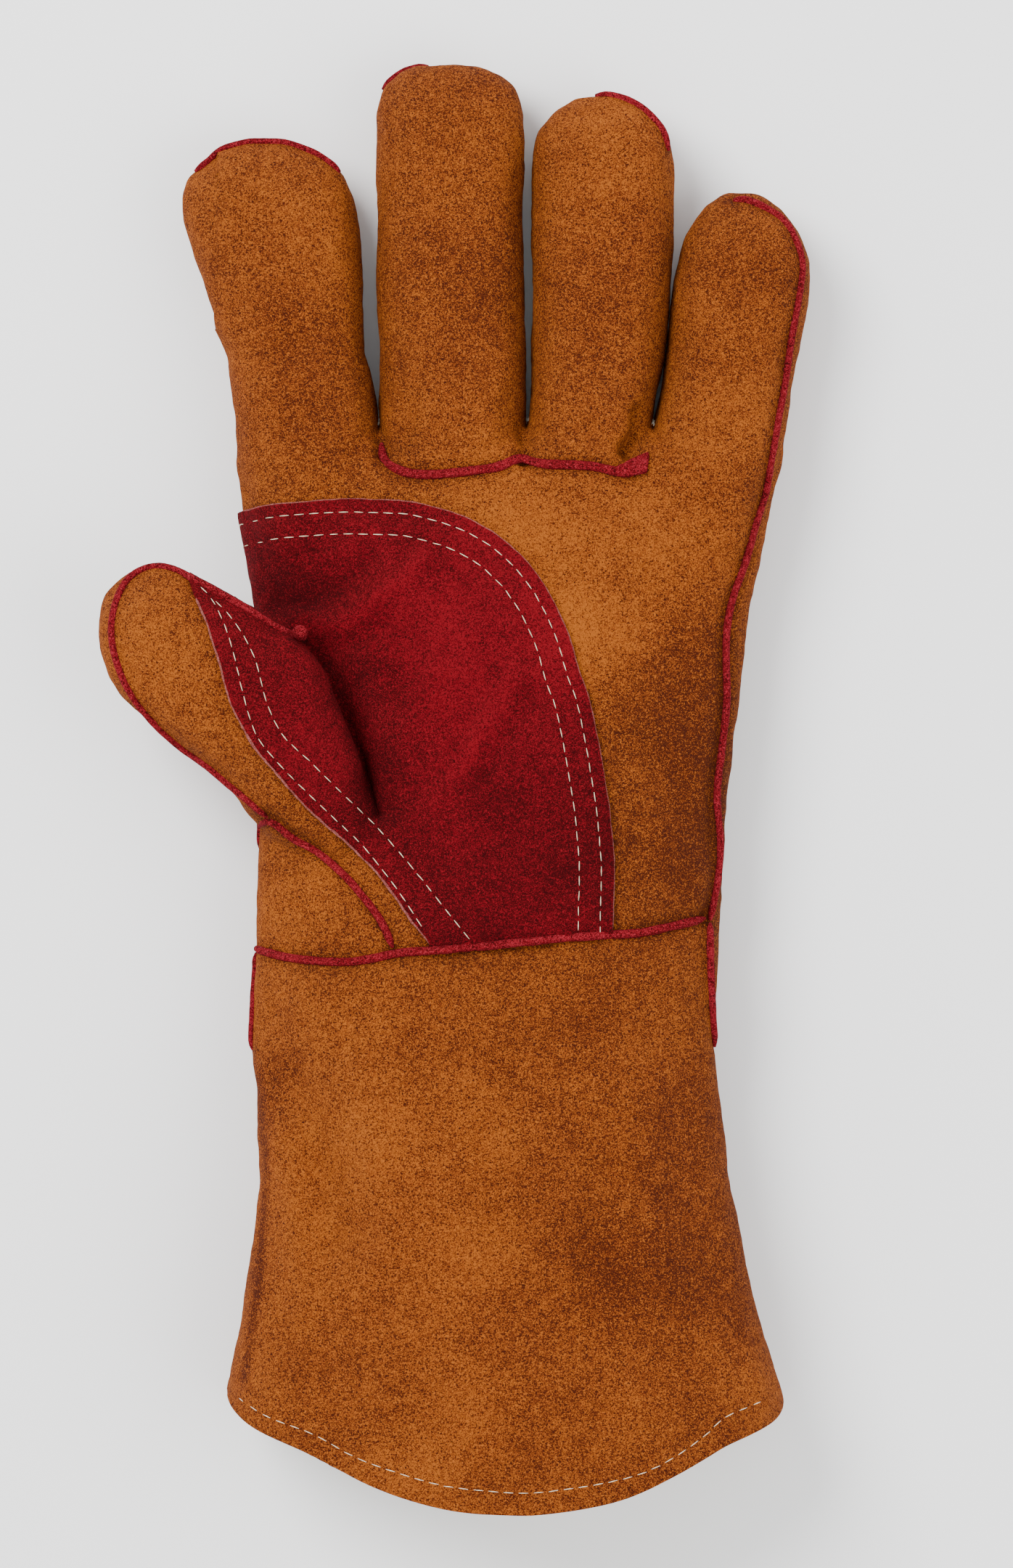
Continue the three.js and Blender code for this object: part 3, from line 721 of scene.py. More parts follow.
# %% Make every cut
LINING_ENDS = 3
TURNED_TO = 8
cut_where(lambda p: p.y - hem(p.x), lambda c: c.y < -155)
cut_where(lambda p: p.y - hem(p.x) - LINING_ENDS, lambda c: c.y < -150)
cut_where(lambda p: p.y - hem(p.x) - TURNED_TO, lambda c: c.y < -145)
cut_where(lambda p: p.y - wrist(p.x), lambda c: -62 < c.y < -38)
cut_where(lambda p: p.y - knuckles(p.x), lambda c: 55 < c.y < 68)
cut_where(lambda p: p.x - THUMB_CUT_X, lambda c: -40 < c.y < 34 and c.x < -50)
for _, web_x, slope in WEBS[:-1]:
    cut_where(
        lambda p: p.x - web_x - slope * (p.y - 64),
        lambda c: 58 < c.y < 78 and abs(c.x - web_x) < 6,
    )
cut_where(lambda p: p.z - seam_height(p), lambda c: True)
cut_where(lambda p: p.z - WALL_LOW, lambda c: c.y > 60 and c.z < 14)
for name, tip in TIPS.items():
    cut_where(
        lambda p: p.y - (tip - WALL_END),
        lambda c: c.y > 60 and abs(c.y - tip + WALL_END) < 5 and finger_of(c) == name,
    )
cut_where(
    lambda p: p.y - wing(p.x),
    lambda c: c.z > 14 and -59 < c.x < -21 and c.y < -16 and c.y > -60,
)
cut_where(from_patch, lambda c: c.z > 10 and c.y > -58 and c.y < 56 and c.x < 34)
bmesh.ops.delete(
    skin,
    geom=[f for f in skin.faces if f.calc_center_median().y < hem(f.calc_center_median().x)],
    context="FACES",
)
print("skin after the cuts", len(skin.faces), "faces")

# %% [markdown]
# With every line cut, each face lies wholly in one panel. Its panel is found from its middle, and
# kept as a name: the body that carries it, and the side or wall that it belongs to. Fingers nearly
# touch, so a finger is told by a point a little way under the skin, which is safely inside it.

# %% Name the panel of each face
UNDER_SKIN = 3.5
skin.normal_update()
skin.faces.ensure_lookup_table()
panel_names = []
panel_of = skin.faces.layers.int.new("panel")
under_patch = skin.faces.layers.int.new("under_patch")
near_hem = skin.faces.layers.int.new("near_hem")


def panel_name(c, normal):
    front = c.z > seam_height(c)
    if is_thumb(c):
        return "thumb_front" if front else "thumb_back"
    if c.y > knuckles(c.x):
        name = finger_of(c - normal * UNDER_SKIN)
        if front:
            return name + "_front"
        middle = float(np.interp(c.y, *CENTRES[name]))
        outer = (name == "index" and c.x < middle) or (name == "little" and c.x > middle)
        if c.z > WALL_LOW and c.y < TIPS[name] - WALL_END and not outer:
            return name + ("_ulnar_wall" if c.x > middle else "_radial_wall")
        return name + "_back"
    if c.y < wrist(c.x):
        return "cuff_front" if front else "cuff_back"
    if front and c.x < -23.2 and c.y < min(wing(c.x), -20):
        return "thumb_wing"
    return "palm_leather" if front else "back_leather"


for face in skin.faces:
    c = face.calc_center_median()
    name = panel_name(c, face.normal)
    if name not in panel_names:
        panel_names.append(name)
    face[panel_of] = panel_names.index(name)
    covered = name in ("palm_leather", "thumb_front", "thumb_wing") and from_patch(c) < 0
    face[under_patch] = int(covered)
    edge = c.y - hem(c.x)
    face[near_hem] = 0 if edge > TURNED_TO else 1 if edge > LINING_ENDS else 2
print(sorted(panel_names))

# %% [markdown]
# Every layer of the glove is made the same way: copy the faces it needs, move them in or out by
# the layers that lie between, and give them a thickness. The cut rim gets its own material,
# because split leather shows a paler core there. Edges sharper than a fold are marked, so the rim
# stays crisp while the suede shades smoothly.

# %% Make a layer
MM = 0.001
LEATHER = 1.5
PATCH_LEATHER = 1.25
TURNED_LEATHER = 1.2
COTTON = 0.8


def to_metres(obj):
    obj.data.transform(Matrix.Scale(MM, 4))
    return obj


def finish(obj, materials, sharp=50):
    for polygon in obj.data.polygons:
        polygon.use_smooth = True
    obj.data.set_sharp_from_angle(angle=math.radians(sharp))
    obj.data.materials.clear()
    for material in materials:
        obj.data.materials.append(material)
    return to_metres(obj)


def make_layer(name, keep, start, thickness, materials, outward=False):
    """The faces that keep() accepts, moved in by start and thickened away from the skin."""
    bm = skin.copy()
    layers = [bm.faces.layers.int[n] for n in ("panel", "under_patch", "near_hem")]
    drop = [f for f in bm.faces if not keep(*[f[layer] for layer in layers])]
    bmesh.ops.delete(bm, geom=drop, context="FACES")
    normals = [v.normal.copy() for v in bm.verts]
    for v, n in zip(bm.verts, normals):
        v.co -= n * start
    bmesh.ops.dissolve_degenerate(bm, dist=0.02, edges=bm.edges)
    obj = object_from(bm, name)
    bm.free()
    wall = obj.modifiers.new("thickness", "SOLIDIFY")
    wall.thickness = thickness
    wall.offset = 1 if outward else -1
    wall.material_offset_rim = 1
    obj.data.materials.append(materials[0])
    obj.data.materials.append(materials[1])
    apply_modifiers(obj)
    print(name, len(obj.data.polygons), "faces")
    return finish(obj, materials)


def panels(*names):
    wanted = {panel_names.index(n) for n in names if n in panel_names}
    return lambda panel, patch, edge: panel in wanted


# %% [markdown]
# A material is a graph of nodes. These helpers add one node each, give its inputs a number or a
# link, and hand back its output, so that a material reads as a list of steps.

# %% Helpers for materials
def new_material(name):
    material = bpy.data.materials.new(name)
    material.use_nodes = True
    tree = material.node_tree
    tree.nodes.clear()
    return material, tree


def node(tree, kind, inputs=(), **settings):
    made_node = tree.nodes.new(kind)
    for key, value in settings.items():
        setattr(made_node, key, value)
    for key, value in dict(inputs).items():
        if isinstance(value, bpy.types.NodeSocket):
            tree.links.new(value, made_node.inputs[key])
        else:
            made_node.inputs[key].default_value = value
    return made_node


def ramp(tree, value, stops):
    made_node = node(tree, "ShaderNodeValToRGB", {"Fac": value})
    elements = made_node.color_ramp.elements
    while len(elements) < len(stops):
        elements.new(0.5)
    for element, (position, colour) in zip(elements, stops):
        element.position = position
        element.color = (*colour, 1)
    return made_node.outputs["Color"]


def math_node(tree, operation, a, b):
    return node(tree, "ShaderNodeMath", {0: a, 1: b}, operation=operation).outputs[0]


def noise_node(tree, vector, scale, detail, roughness=0.5, distortion=0.0):
    return node(
        tree,
        "ShaderNodeTexNoise",
        {
            "Vector": vector,
            "Scale": scale,
            "Detail": detail,
            "Roughness": roughness,
            "Distortion": distortion,
        },
    ).outputs["Fac"]


# %% [markdown]
# Split suede has no smooth side: its surface is a nap of short fibres. Five scales of grain, from
# blotches two centimetres across down to single flecks, are added to the tone kept on the points,
# and the sum reads a colour from a ramp. The finer scales also drive the bump. A little sheen lifts
# the colour where the nap is seen from the side.

# %% Suede
SHEEN = 0.02
BUMP_STRENGTH = 0.9
BUMP_DEPTH = 0.0022
GRAIN_SHARES = {"blotch": 0.9, "mottle": 1.1, "nap": 3.6, "fleck": 7.0, "fibre": 0.5}
HEIGHT_SHARES = {"nap": 0.8, "mottle": 0.9, "fleck": 1.1, "fibre": 0.12}


def suede(name, stops, sheen_tint, tone_share, contrast=1.0):
    """Split leather: the ramp is read at the tone plus five scales of grain."""
    material, tree = new_material(name)
    place = node(tree, "ShaderNodeTexCoord").outputs["Object"]
    tone_value = node(tree, "ShaderNodeAttribute", attribute_name="tone").outputs["Fac"]
    grain = {
        "blotch": noise_node(tree, place, 48, 3),
        "mottle": noise_node(tree, place, 300, 5, 0.65, 0.8),
        "nap": noise_node(tree, place, 900, 6, 0.78, 2.0),
        "fleck": noise_node(tree, place, 2700, 2, 0.8, 1.0),
    }
    grain["fibre"] = node(
        tree,
        "ShaderNodeTexWave",
        {
            "Vector": place,
            "Scale": 420,
            "Distortion": 24,
            "Detail": 4,
            "Detail Scale": 2.4,
            "Detail Roughness": 0.7,
        },
    ).outputs["Fac"]
    total = math_node(tree, "MULTIPLY", tone_value, tone_share)
    for kind, share in GRAIN_SHARES.items():
        part = math_node(tree, "SUBTRACT", grain[kind], 0.5)
        total = math_node(
            tree, "ADD", total, math_node(tree, "MULTIPLY", part, share * contrast)
        )
    total = math_node(tree, "ADD", total, 0.5)
    colour = ramp(tree, total, stops)
    height = 0.0
    for kind, share in HEIGHT_SHARES.items():
        part = math_node(tree, "MULTIPLY", grain[kind], share)
        height = math_node(tree, "ADD", height, part)
    raised = node(
        tree,
        "ShaderNodeBump",
        {"Height": height, "Strength": BUMP_STRENGTH, "Distance": BUMP_DEPTH},
    ).outputs["Normal"]
    rough = math_node(tree, "ADD", math_node(tree, "MULTIPLY", grain["nap"], 0.12), 0.84)
    shader = node(
        tree,
        "ShaderNodeBsdfPrincipled",
        {
            "Base Color": colour,
            "Roughness": rough,
            "Specular IOR Level": 0.05,
            "Sheen Weight": SHEEN,
            "Sheen Roughness": 0.5,
            "Sheen Tint": (*sheen_tint, 1),
            "Normal": raised,
        },
    )
    out = node(tree, "ShaderNodeOutputMaterial")
    tree.links.new(shader.outputs[0], out.inputs["Surface"])
    return material


# %% Colours of the suede
TAN_STOPS = [
    (0.0, (0.080, 0.0130, 0.0050)),
    (0.34, (0.200, 0.0310, 0.0078)),
    (0.62, (0.345, 0.0660, 0.0115)),
    (1.0, (0.640, 0.1750, 0.0220)),
]
RED_STOPS = [
    (0.0, (0.050, 0.0010, 0.0024)),
    (0.4, (0.125, 0.0018, 0.0050)),
    (0.7, (0.220, 0.0030, 0.0085)),
    (1.0, (0.370, 0.0100, 0.0190)),
]
PIPING_STOPS = [
    (0.0, (0.060, 0.0012, 0.0024)),
    (0.4, (0.260, 0.0050, 0.0110)),
    (0.75, (0.430, 0.0100, 0.0220)),
    (1.0, (0.580, 0.0400, 0.0600)),
]
tan_suede = suede("tan_suede", TAN_STOPS, (0.9, 0.55, 0.25), 0.40)
red_suede = suede("red_suede", RED_STOPS, (0.8, 0.2, 0.2), 0.34, contrast=0.8)
red_piping = suede("red_piping", PIPING_STOPS, (0.9, 0.3, 0.3), 0.0, contrast=0.7)
tan_core = suede(
    "tan_cut_edge",
    [(0.2, (0.20, 0.06, 0.018)), (0.8, (0.40, 0.15, 0.045))],
    (0.9, 0.6, 0.4),
    0.1,
)
pink_core = suede(
    "pink_cut_edge",
    [(0.2, (0.30, 0.055, 0.050)), (0.8, (0.58, 0.19, 0.16))],
    (0.9, 0.6, 0.6),
    0.1,
)

# %% [markdown]
# The lining is a soft cotton cloth. Two wave textures at right angles give its weave, and noise
# makes the yarns uneven. The sewing thread is the same colour of cotton, twisted and slightly
# waxed, so it is smoother than the cloth.

# %% Cotton and thread
def cotton(name, low, high, weave):
    material, tree = new_material(name)
    place = node(tree, "ShaderNodeTexCoord").outputs["Object"]
    waves = []
    for direction in ("X", "Y"):
        waves.append(
            node(
                tree,
                "ShaderNodeTexWave",
                {"Vector": place, "Scale": weave, "Distortion": 1.5, "Detail": 2},
                bands_direction=direction,
            ).outputs["Fac"]
        )
    cloth = math_node(tree, "MULTIPLY", waves[0], waves[1])
    uneven = noise_node(tree, place, 160, 4)
    value = math_node(tree, "ADD", math_node(tree, "MULTIPLY", cloth, 0.5), uneven)
    colour = ramp(tree, value, [(0.2, low), (0.9, high)])
    raised = node(
        tree, "ShaderNodeBump", {"Height": value, "Strength": 0.5, "Distance": 0.0005}
    ).outputs["Normal"]
    rough = math_node(tree, "ADD", math_node(tree, "MULTIPLY", uneven, 0.2), 0.7)
    shader = node(
        tree,
        "ShaderNodeBsdfPrincipled",
        {
            "Base Color": colour,
            "Roughness": rough,
            "Specular IOR Level": 0.2,
            "Sheen Weight": 0.3,
            "Normal": raised,
        },
    )
    out = node(tree, "ShaderNodeOutputMaterial")
    tree.links.new(shader.outputs[0], out.inputs["Surface"])
    return material


lining_cotton = cotton("cotton_lining", (0.42, 0.36, 0.26), (0.78, 0.72, 0.58), 500)
cream_thread = cotton("cream_thread", (0.45, 0.33, 0.20), (0.80, 0.66, 0.46), 1400)

# %% [markdown]
# A glover cuts some panels larger than these, but each piece here belongs to one body only, so that
# the joints can move it. The forefinger and little finger run on from the palm with no seam, and
# there the two pieces meet edge to edge on the line where bending starts.

# %% Leather panels
TAN = (tan_suede, tan_core)
FINGER_PANELS = {
    "index": ["index_front", "index_back", "index_ulnar_wall"],
    "middle": ["middle_front", "middle_back", "middle_radial_wall", "middle_ulnar_wall"],
    "ring": ["ring_front", "ring_back", "ring_radial_wall", "ring_ulnar_wall"],
    "little": ["little_front", "little_back", "little_radial_wall"],
}
HAND_PANELS = ["palm_leather", "thumb_wing", "back_leather"]
CUFF_PANELS = ["cuff_front", "cuff_back"]
THUMB_PANELS = ["thumb_front", "thumb_back"]
bodies = {
    "hand": HAND_PANELS, "cuff": CUFF_PANELS, "thumb": THUMB_PANELS, **FINGER_PANELS,
}
VISUAL = "_leather"
leather = {}
for body, names in bodies.items():
    for panel in names:
        piece = panel if panel.endswith("leather") else panel + VISUAL
        leather[panel] = make_layer("sewn_" + piece, panels(panel), 0, LEATHER, TAN)

# %% [markdown]
# The patch lies on top of the palm and the thumb. Its faces are the same ones, raised by a hair
# and thickened outwards, and its cut rim shows the pink core of the dyed leather. At the hem the
# leather is turned in, so a second band lies inside the first.

# %% Patch and hem
RAISED = -0.12
RED = (red_suede, pink_core)


def patch_on(*names):
    wanted = {panel_names.index(n) for n in names}
    return lambda panel, patch, edge: patch == 1 and panel in wanted


patches = {
    "hand": make_layer(
        "red_palm_patch", patch_on("palm_leather", "thumb_wing"), RAISED, PATCH_LEATHER, RED, True
    ),
    "thumb": make_layer(
        "red_thumb_patch", patch_on("thumb_front"), RAISED, PATCH_LEATHER, RED, True
    ),
}
hem_wanted = {panel_names.index(n) for n in CUFF_PANELS}
hem_turning = make_layer(
    "hem_turning",
    lambda panel, patch, edge: edge > 0 and panel in hem_wanted,
    LEATHER + 0.1,
    TURNED_LEATHER,
    TAN,
)

# %% [markdown]
# The lining follows the shell a leather's thickness further in. In the cuff it stops under the
# turned hem, where the sewn row catches it.

# %% Lining
LINING_START = LEATHER + 0.25
linings = {}
for body, names in bodies.items():
    keep = panels(*names)
    inside = (lambda panel, patch, edge, keep=keep: keep(panel, patch, edge) and edge < 2)
    start = LINING_START + (TURNED_LEATHER if body == "cuff" else 0)
    linings[body] = make_layer(
        body + "_cotton", inside, start, COTTON, (lining_cotton, lining_cotton)
    )

# %% [markdown]
# Piping is a strip of red leather folded over a cord and caught in the seam, so it stands up
# between the panels. Its line is laid on the finished surface, smoothed, and swept as a round tube
# with bmesh rings. Uneven cutting makes a real one lumpy, so each ring is a little thicker or
# thinner.

# %% Surfaces to lay piping and thread on
def tree_of(objects):
    bm = bmesh.new()
    for obj in objects:
        bm.from_mesh(obj.data)
    bmesh.ops.scale(bm, vec=(1 / MM,) * 3, verts=bm.verts)
    tree = BVHTree.FromBMesh(bm)
    bm.free()
    return tree


surface = tree_of(list(leather.values()) + list(patches.values()))


def smoothed(points, rounds=3):
    for _ in range(rounds):
        points = (
            [points[0]]
            + [(a + b * 2 + c) / 4 for a, b, c in zip(points, points[1:], points[2:])]
            + [points[-1]]
        )
    return points


def tube(bm, points, radius, sides=8, lumps=0.12, seed=0.0):
    """A round tube through points, with its ends drawn in."""
    rings = []
    last = len(points) - 1
    for i, p in enumerate(points):
        ahead = (points[min(i + 1, last)] - points[max(i - 1, 0)]).normalized()
        end = min(i, last - i)
        r = radius * (1 + lumps * noise.noise(p * 0.45 + Vector((seed, 0, 0))))
        r *= (0.35, 0.8, 1.0)[min(end, 2)]
        turn = ahead.to_track_quat("Z", "Y").to_matrix().to_4x4()
        before = set(bm.edges)
        bmesh.ops.create_circle(
            bm, segments=sides, radius=r, matrix=Matrix.Translation(p) @ turn
        )
        rings.append([e for e in bm.edges if e not in before])
    for a, b in zip(rings, rings[1:]):
        bmesh.ops.bridge_loops(bm, edges=a + b)
    for end in (rings[0], rings[-1]):
        bmesh.ops.contextual_create(bm, geom=end)
    bmesh.ops.recalc_face_normals(bm, faces=bm.faces)


PIPING_STEP = 1.2


def piping_along(name, points, proud, radius):
    """A welt along a plan curve, or along points near the surface where they have a height."""
    bm = bmesh.new()
    if len(points[0]) == 2:
        path = [p + n * proud for p, n in laid(points, surface, PIPING_STEP)]
    else:
        path = []
        for p in along(points, PIPING_STEP):
            hit, normal, *_ = surface.find_nearest(p)
            path.append(hit + normal * proud)
    tube(bm, smoothed(path), radius)
    obj = object_from(bm, name)
    bm.free()
    print(name, len(path), "rings")
    return finish(obj, [red_piping])


# %% Piping
def around_tip(name, right, left, back, grow=0.2, first=-8, last=8):
    """Points round a fingertip, climbing from the height on the right to the height on the left."""
    ys, xs = CENTRES[name]
    middle = float(np.interp(TIPS[name] - back, ys, xs))
    out = []
    for i in range(first, last + 1):
        a = math.radians(90 + i * 11.5)
        aim = Vector((middle, TIPS[name] - back, right + (left - right) * (i + 8) / 16))
        ray = Vector((math.cos(a), math.sin(a), 0))
        hit, *_ = above.ray_cast(aim, ray)
        if hit:
            out.append(hit + ray * grow)
    return out


CUFF_RADIAL = [(-57.6, -55, 19), (-58, -64, 20), (-58.2, -72, 21), (-58, -80, 22)]
RADIAL = [(-57, -19, 15), (-57, -24, 15.5), (-57, -30, 16)]
WELTS = {  # line, height above the seam, radius, body, CAD nodes it stands for
    "finger_base_welt": (FINGER_BASE, 0.35, 1.15, "hand", "finger_base_piping"),
    "ulnar_welt": (ULNAR_SEAM, 0.35, 0.95, "little", "ulnar_piping", "little_tip_piping"),
    "wrist_welt": (WRIST_SEAM[:-1], 0.35, 1.05, "hand", "wrist_piping"),
    "wing_welt": (WING_SEAM, 0.35, 0.95, "hand", "wing_piping"),
    "cuff_ulnar_welt": (CUFF_RIGHT[:-1], 0.35, 1.0, "cuff", "cuff_ulnar_piping"),
    "cuff_radial_welt": (CUFF_RADIAL, 0.0, 1.0, "cuff", "cuff_radial_piping"),
    "thumb_welt": (THUMB_SEAM, 0.35, 0.9, "thumb", "thumb_piping"),
    "radial_welt": (RADIAL, -0.2, 1.0, "hand"),
    "index_welt": (
        around_tip("index", 17, 17, 13, first=-6, last=6), 0.35, 0.9, "index", "index_tip_piping"
    ),
    "middle_welt": (
        around_tip("middle", 7, 13, 12, first=2, last=6), 0.35, 0.8, "middle", "middle_tip_piping"
    ),
    "ring_welt": (around_tip("ring", 20, 12, 12, last=1), 0.35, 0.9, "ring", "ring_tip_piping"),
}
pipings = {
    name: piping_along(name, line, proud, radius)
    for name, (line, proud, radius, *_) in WELTS.items()
}

# %% [markdown]
# Where the thumb's welt runs out in the crotch its end is folded back and sewn down, which leaves
# a small knob.

# %% Knob in the crotch of the thumb
(knob_at, knob_normal), *_ = laid([(-46.8, 21.4), (-45.8, 20.9)], surface, 0.5)
KNOB_RADIUS = 1.8
KNOB_LUMPS = 0.22
KNOB_RISE = 1.4
knob_bm = bmesh.new()
bmesh.ops.create_icosphere(knob_bm, subdivisions=3, radius=KNOB_RADIUS)
for v in knob_bm.verts:
    v.co *= 1 + KNOB_LUMPS * noise.noise(v.co * 0.9)
    v.co.x *= 1.15
bmesh.ops.translate(knob_bm, verts=knob_bm.verts, vec=knob_at + knob_normal * KNOB_RISE)
knob = object_from(knob_bm, "thumb_crotch_knob")
knob_bm.free()
finish(knob, [red_piping])

# %% [markdown]
# Cut suede frays: the patch's raw edge spreads into a narrow pale lip. It is swept like the
# piping, much thinner, along the patch's outline, with one piece on the hand and one on the thumb.

# %% Raw edge of the patch
EDGE_RISE = 0.75
CROTCH_Y = 34
shell = tree_of(list(leather.values()))


def raw_edge(name, line, keep, radius):
    path = [p + n * EDGE_RISE for p, n in laid(line, shell, 0.8) if keep(p)]
    bm = bmesh.new()
    tube(bm, smoothed(path, 1), radius, sides=6, lumps=0.45, seed=4.0)
    obj = object_from(bm, name)
    bm.free()
    return finish(obj, [pink_core])


def over_hand(p):
    return (p.x > THUMB_CUT_X or p.y > CROTCH_Y) and p.y > wrist(p.x) + 1


raw_edges = {
    "top": raw_edge("patch_edge_top", PATCH_TOP[1:], over_hand, 0.34),
    "thenar": raw_edge("patch_edge_thenar", PATCH_THUMB, over_hand, 0.5),
    "thumb": raw_edge("patch_edge_thumb", PATCH_THUMB[:-2], lambda p: p.x < THUMB_CUT_X, 0.5),
}

# %% [markdown]
# Each stitch is a short grain of thread that dips into the leather at both ends. One small sphere
# is stretched along the row for each, set into the surface and turned a little off the line, the
# way a walking-foot machine leaves them.

# %% Stitches
STITCH_PITCH = 3.6
STITCH_LENGTH = 2.8
THREAD = 0.12
SPOTS_PER_STITCH = 4
WAVER = 0.10


def stitches(name, rows, keep=lambda p: True):
    bm = bmesh.new()
    count = 0
    for row in rows:
        spots = laid(row, surface, STITCH_PITCH / SPOTS_PER_STITCH)
        for i in range(2, len(spots) - 2, SPOTS_PER_STITCH):
            p, n = spots[i]
            if not keep(p):
                continue
            ahead = spots[i + 1][0] - spots[i - 1][0]
            if ahead.length < 0.2:
                continue
            ahead = (ahead - n * ahead.dot(n)).normalized()
            aside = n.cross(ahead)
            ahead = (ahead + aside * WAVER * noise.noise(p * 1.7)).normalized()
            aside = n.cross(ahead).normalized()
            turn = Matrix((ahead, aside, n)).transposed().to_4x4()
            size = Matrix.Diagonal((STITCH_LENGTH / 2, THREAD, THREAD * 0.85, 1))
            spot = Matrix.Translation(p + n * (THREAD * 0.35))
            bmesh.ops.create_uvsphere(
                bm, u_segments=6, v_segments=5, radius=1, matrix=spot @ turn @ size
            )
            count += 1
    obj = object_from(bm, name)
    bm.free()
    print(name, count, "stitches")
    return finish(obj, [cream_thread], sharp=180)


HEM_ROW = [
    (-61.5, -161.6), (-53.4, -166.1), (-42.5, -170), (-32.7, -175.1), (-22.9, -178.6),
    (-12.1, -181.6), (-3.2, -182.8), (8.4, -183.5), (17.4, -182.8), (27.4, -181.3),
    (36.4, -179.1), (44.3, -175.3), (51.5, -170.5), (56.1, -166.5), (61.4, -164.2), (67.6, -162.1),
]


def on_palm_patch(p):
    return over_hand(p) and from_patch(p) < -0.7


def on_thumb_patch(p):
    over_thumb = p.x <= THUMB_CUT_X and p.y < CROTCH_Y + 2
    return over_thumb and p.y > wrist(p.x) + 1 and from_patch(p) < -0.7


ROW_NAMES = ("outer", "inner", "thenar_outer", "thenar_inner")
threads = {
    name: stitches(name + "_stitches", [row], on_palm_patch)
    for name, row in zip(ROW_NAMES, SEWN_ROWS)
}
threads["thumb"] = stitches("thumb_stitches", SEWN_ROWS[2:], on_thumb_patch)
threads["hem"] = stitches("hem_stitches", [HEM_ROW])

# %% [markdown]
# At the little-finger end of the seam across the finger bases, the strip of piping is cut off flat
# and left as a small red tab. It is a thin triangle with rounded corners that lies on the seam.

# %% Tab
TAB = [(29.6, 62.2), (33.0, 63.9), (38.5, 66.2), (38.0, 61.4), (33.6, 60.2)]
TAB_RISE = 0.9
tab = bmesh.new()
corners = [tab.verts.new(Vector((x, y, 0))) for x, y in TAB]
tab.faces.new(corners)
bmesh.ops.subdivide_edges(tab, edges=tab.edges, cuts=2, use_grid_fill=True)
bmesh.ops.triangulate(tab, faces=tab.faces)
bmesh.ops.subdivide_edges(tab, edges=tab.edges, cuts=1)
for v in tab.verts:
    hit, *_ = surface.ray_cast(Vector((v.co.x, v.co.y, OVERHEAD)), DOWN)
    v.co.z = hit.z + TAB_RISE + 0.25 * noise.noise(v.co * 0.6)
bmesh.ops.recalc_face_normals(tab, faces=tab.faces)
if tab.faces[:][0].normal.z < 0:
    bmesh.ops.reverse_faces(tab, faces=tab.faces)
tab_object = object_from(tab, "seam_tab")
tab.free()
wall = tab_object.modifiers.new("thickness", "SOLIDIFY")
wall.thickness = 1.3
wall.offset = 0
rounding = tab_object.modifiers.new("rounding", "BEVEL")
rounding.width = 0.35
rounding.segments = 2
apply_modifiers(tab_object)
finish(tab_object, [red_piping])

# %% [markdown]
# Pieces of the hand are attached to the hand's body, and every other piece only has its placement
# baked into its points; the fingers, the thumb and the cuff are not made to bend here. Each piece
# hides the CAD parts that it stands for.


def carry(obj, body, slot_name, *nodes):
    """Rides on the hand, or for any other body only has its placement baked in."""
    if body == "hand":
        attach(obj, "hand")
    else:
        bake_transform(obj)
    if nodes:
        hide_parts(*nodes)


CAD_OF_PANEL = {
    "palm_leather": ["palm_leather", "thumb_root_front"],
    "back_leather": ["back_leather", "thumb_root_back"],
}
for body, names in bodies.items():
    for panel in names:
        nodes = CAD_OF_PANEL.get(panel, [panel])
        carry(leather[panel], body, "tan_suede", *nodes)
carry(patches["hand"], "hand", "red_suede", "palm_patch", "thumb_root_patch")
carry(patches["thumb"], "thumb", "red_suede", "thumb_patch")
carry(hem_turning, "cuff", "tan_suede")
for body, obj in linings.items():
    nodes = {
        "hand": ["palm_lining", "back_lining", "thumb_root_lining"],
        "cuff": ["cuff_front_lining", "cuff_back_lining"],
    }.get(body, [body + "_lining"])
    carry(obj, body, "cotton_lining", *nodes)
for name, (_, _, _, body, *nodes) in WELTS.items():
    carry(pipings[name], body, "red_piping", *nodes)
carry(tab_object, "hand", "red_piping")
carry(knob, "hand", "red_piping")
THREAD_BODIES = {
    "outer": ("hand", "patch_thread_outer"),
    "inner": ("hand", "patch_thread_inner"),
    "thenar_outer": ("hand", "thenar_thread_outer"),
    "thenar_inner": ("hand", "thenar_thread_inner"),
    "thumb": ("thumb",),
    "hem": ("cuff", "hem_thread"),
}
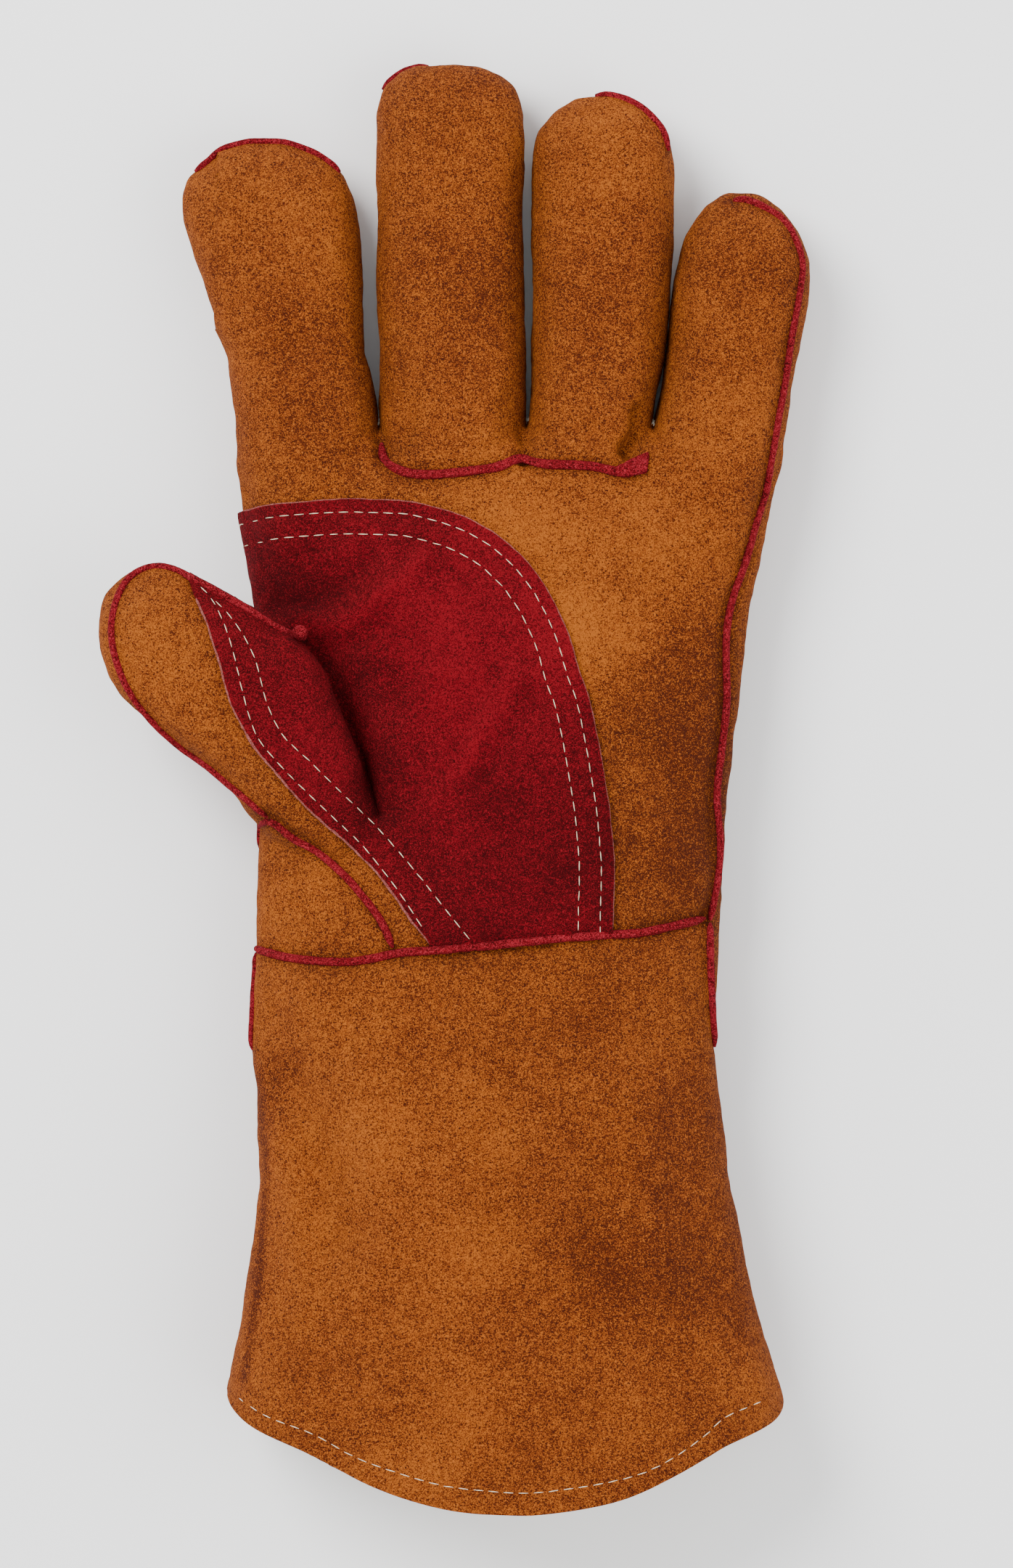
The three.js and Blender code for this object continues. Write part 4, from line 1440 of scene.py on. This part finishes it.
for name, (body, *nodes) in THREAD_BODIES.items():
    carry(threads[name], body, "sewing_thread", *nodes)
for name, obj in raw_edges.items():
    carry(obj, "thumb" if name == "thumb" else "hand", "red_suede")
bpy.data.objects.remove(blank)
left = [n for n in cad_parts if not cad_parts[n].hide_render]
print("CAD nodes still showing:", left)

# %% [markdown]
# The glove lies on a pale floor. One big soft light comes from above left and a weaker one fills
# from the right. The camera looks straight down, square on the palm.

# %% Floor, lights and camera
floor_bm = bmesh.new()
bmesh.ops.create_grid(floor_bm, x_segments=1, y_segments=1, size=3)
floor = object_from(floor_bm, "floor")
floor_bm.free()
FLOOR_DROP = 0.0004
floor.data.transform(Matrix.Translation((0, 0, -FLOOR_DROP)))
pale, tree = new_material("pale_floor")
paint = node(
    tree,
    "ShaderNodeBsdfPrincipled",
    {"Base Color": (0.95, 0.95, 0.95, 1), "Roughness": 0.9, "Specular IOR Level": 0.1},
)
out = node(tree, "ShaderNodeOutputMaterial")
tree.links.new(paint.outputs[0], out.inputs["Surface"])
floor.data.materials.append(pale)


def soft_light(name, place, aim, size, power):
    light = bpy.data.lights.new(name, "AREA")
    light.shape = "DISK"
    light.size = size
    light.energy = power
    lamp = bpy.data.objects.new(name, light)
    lamp.location = place
    lamp.rotation_euler = (Vector(aim) - Vector(place)).to_track_quat("-Z", "Y").to_euler()
    bpy.context.scene.collection.objects.link(lamp)


soft_light("key_light", (-0.75, 0.65, 1.25), (0, 0, 0), 0.9, 36)
soft_light("fill_light", (0.9, -0.3, 1.1), (0, 0, 0), 1.2, 12)
world = bpy.data.worlds.new("studio")
world.use_nodes = True
world.node_tree.nodes["Background"].inputs["Color"].default_value = (1, 1, 1, 1)
world.node_tree.nodes["Background"].inputs["Strength"].default_value = 1.25
bpy.context.scene.world = world

camera_data = bpy.data.cameras.new("camera")
camera_data.lens = 200
camera = bpy.data.objects.new("camera", camera_data)
camera.location = (0.004, -0.0141, 2.138)
bpy.context.scene.collection.objects.link(camera)
bpy.context.scene.camera = camera
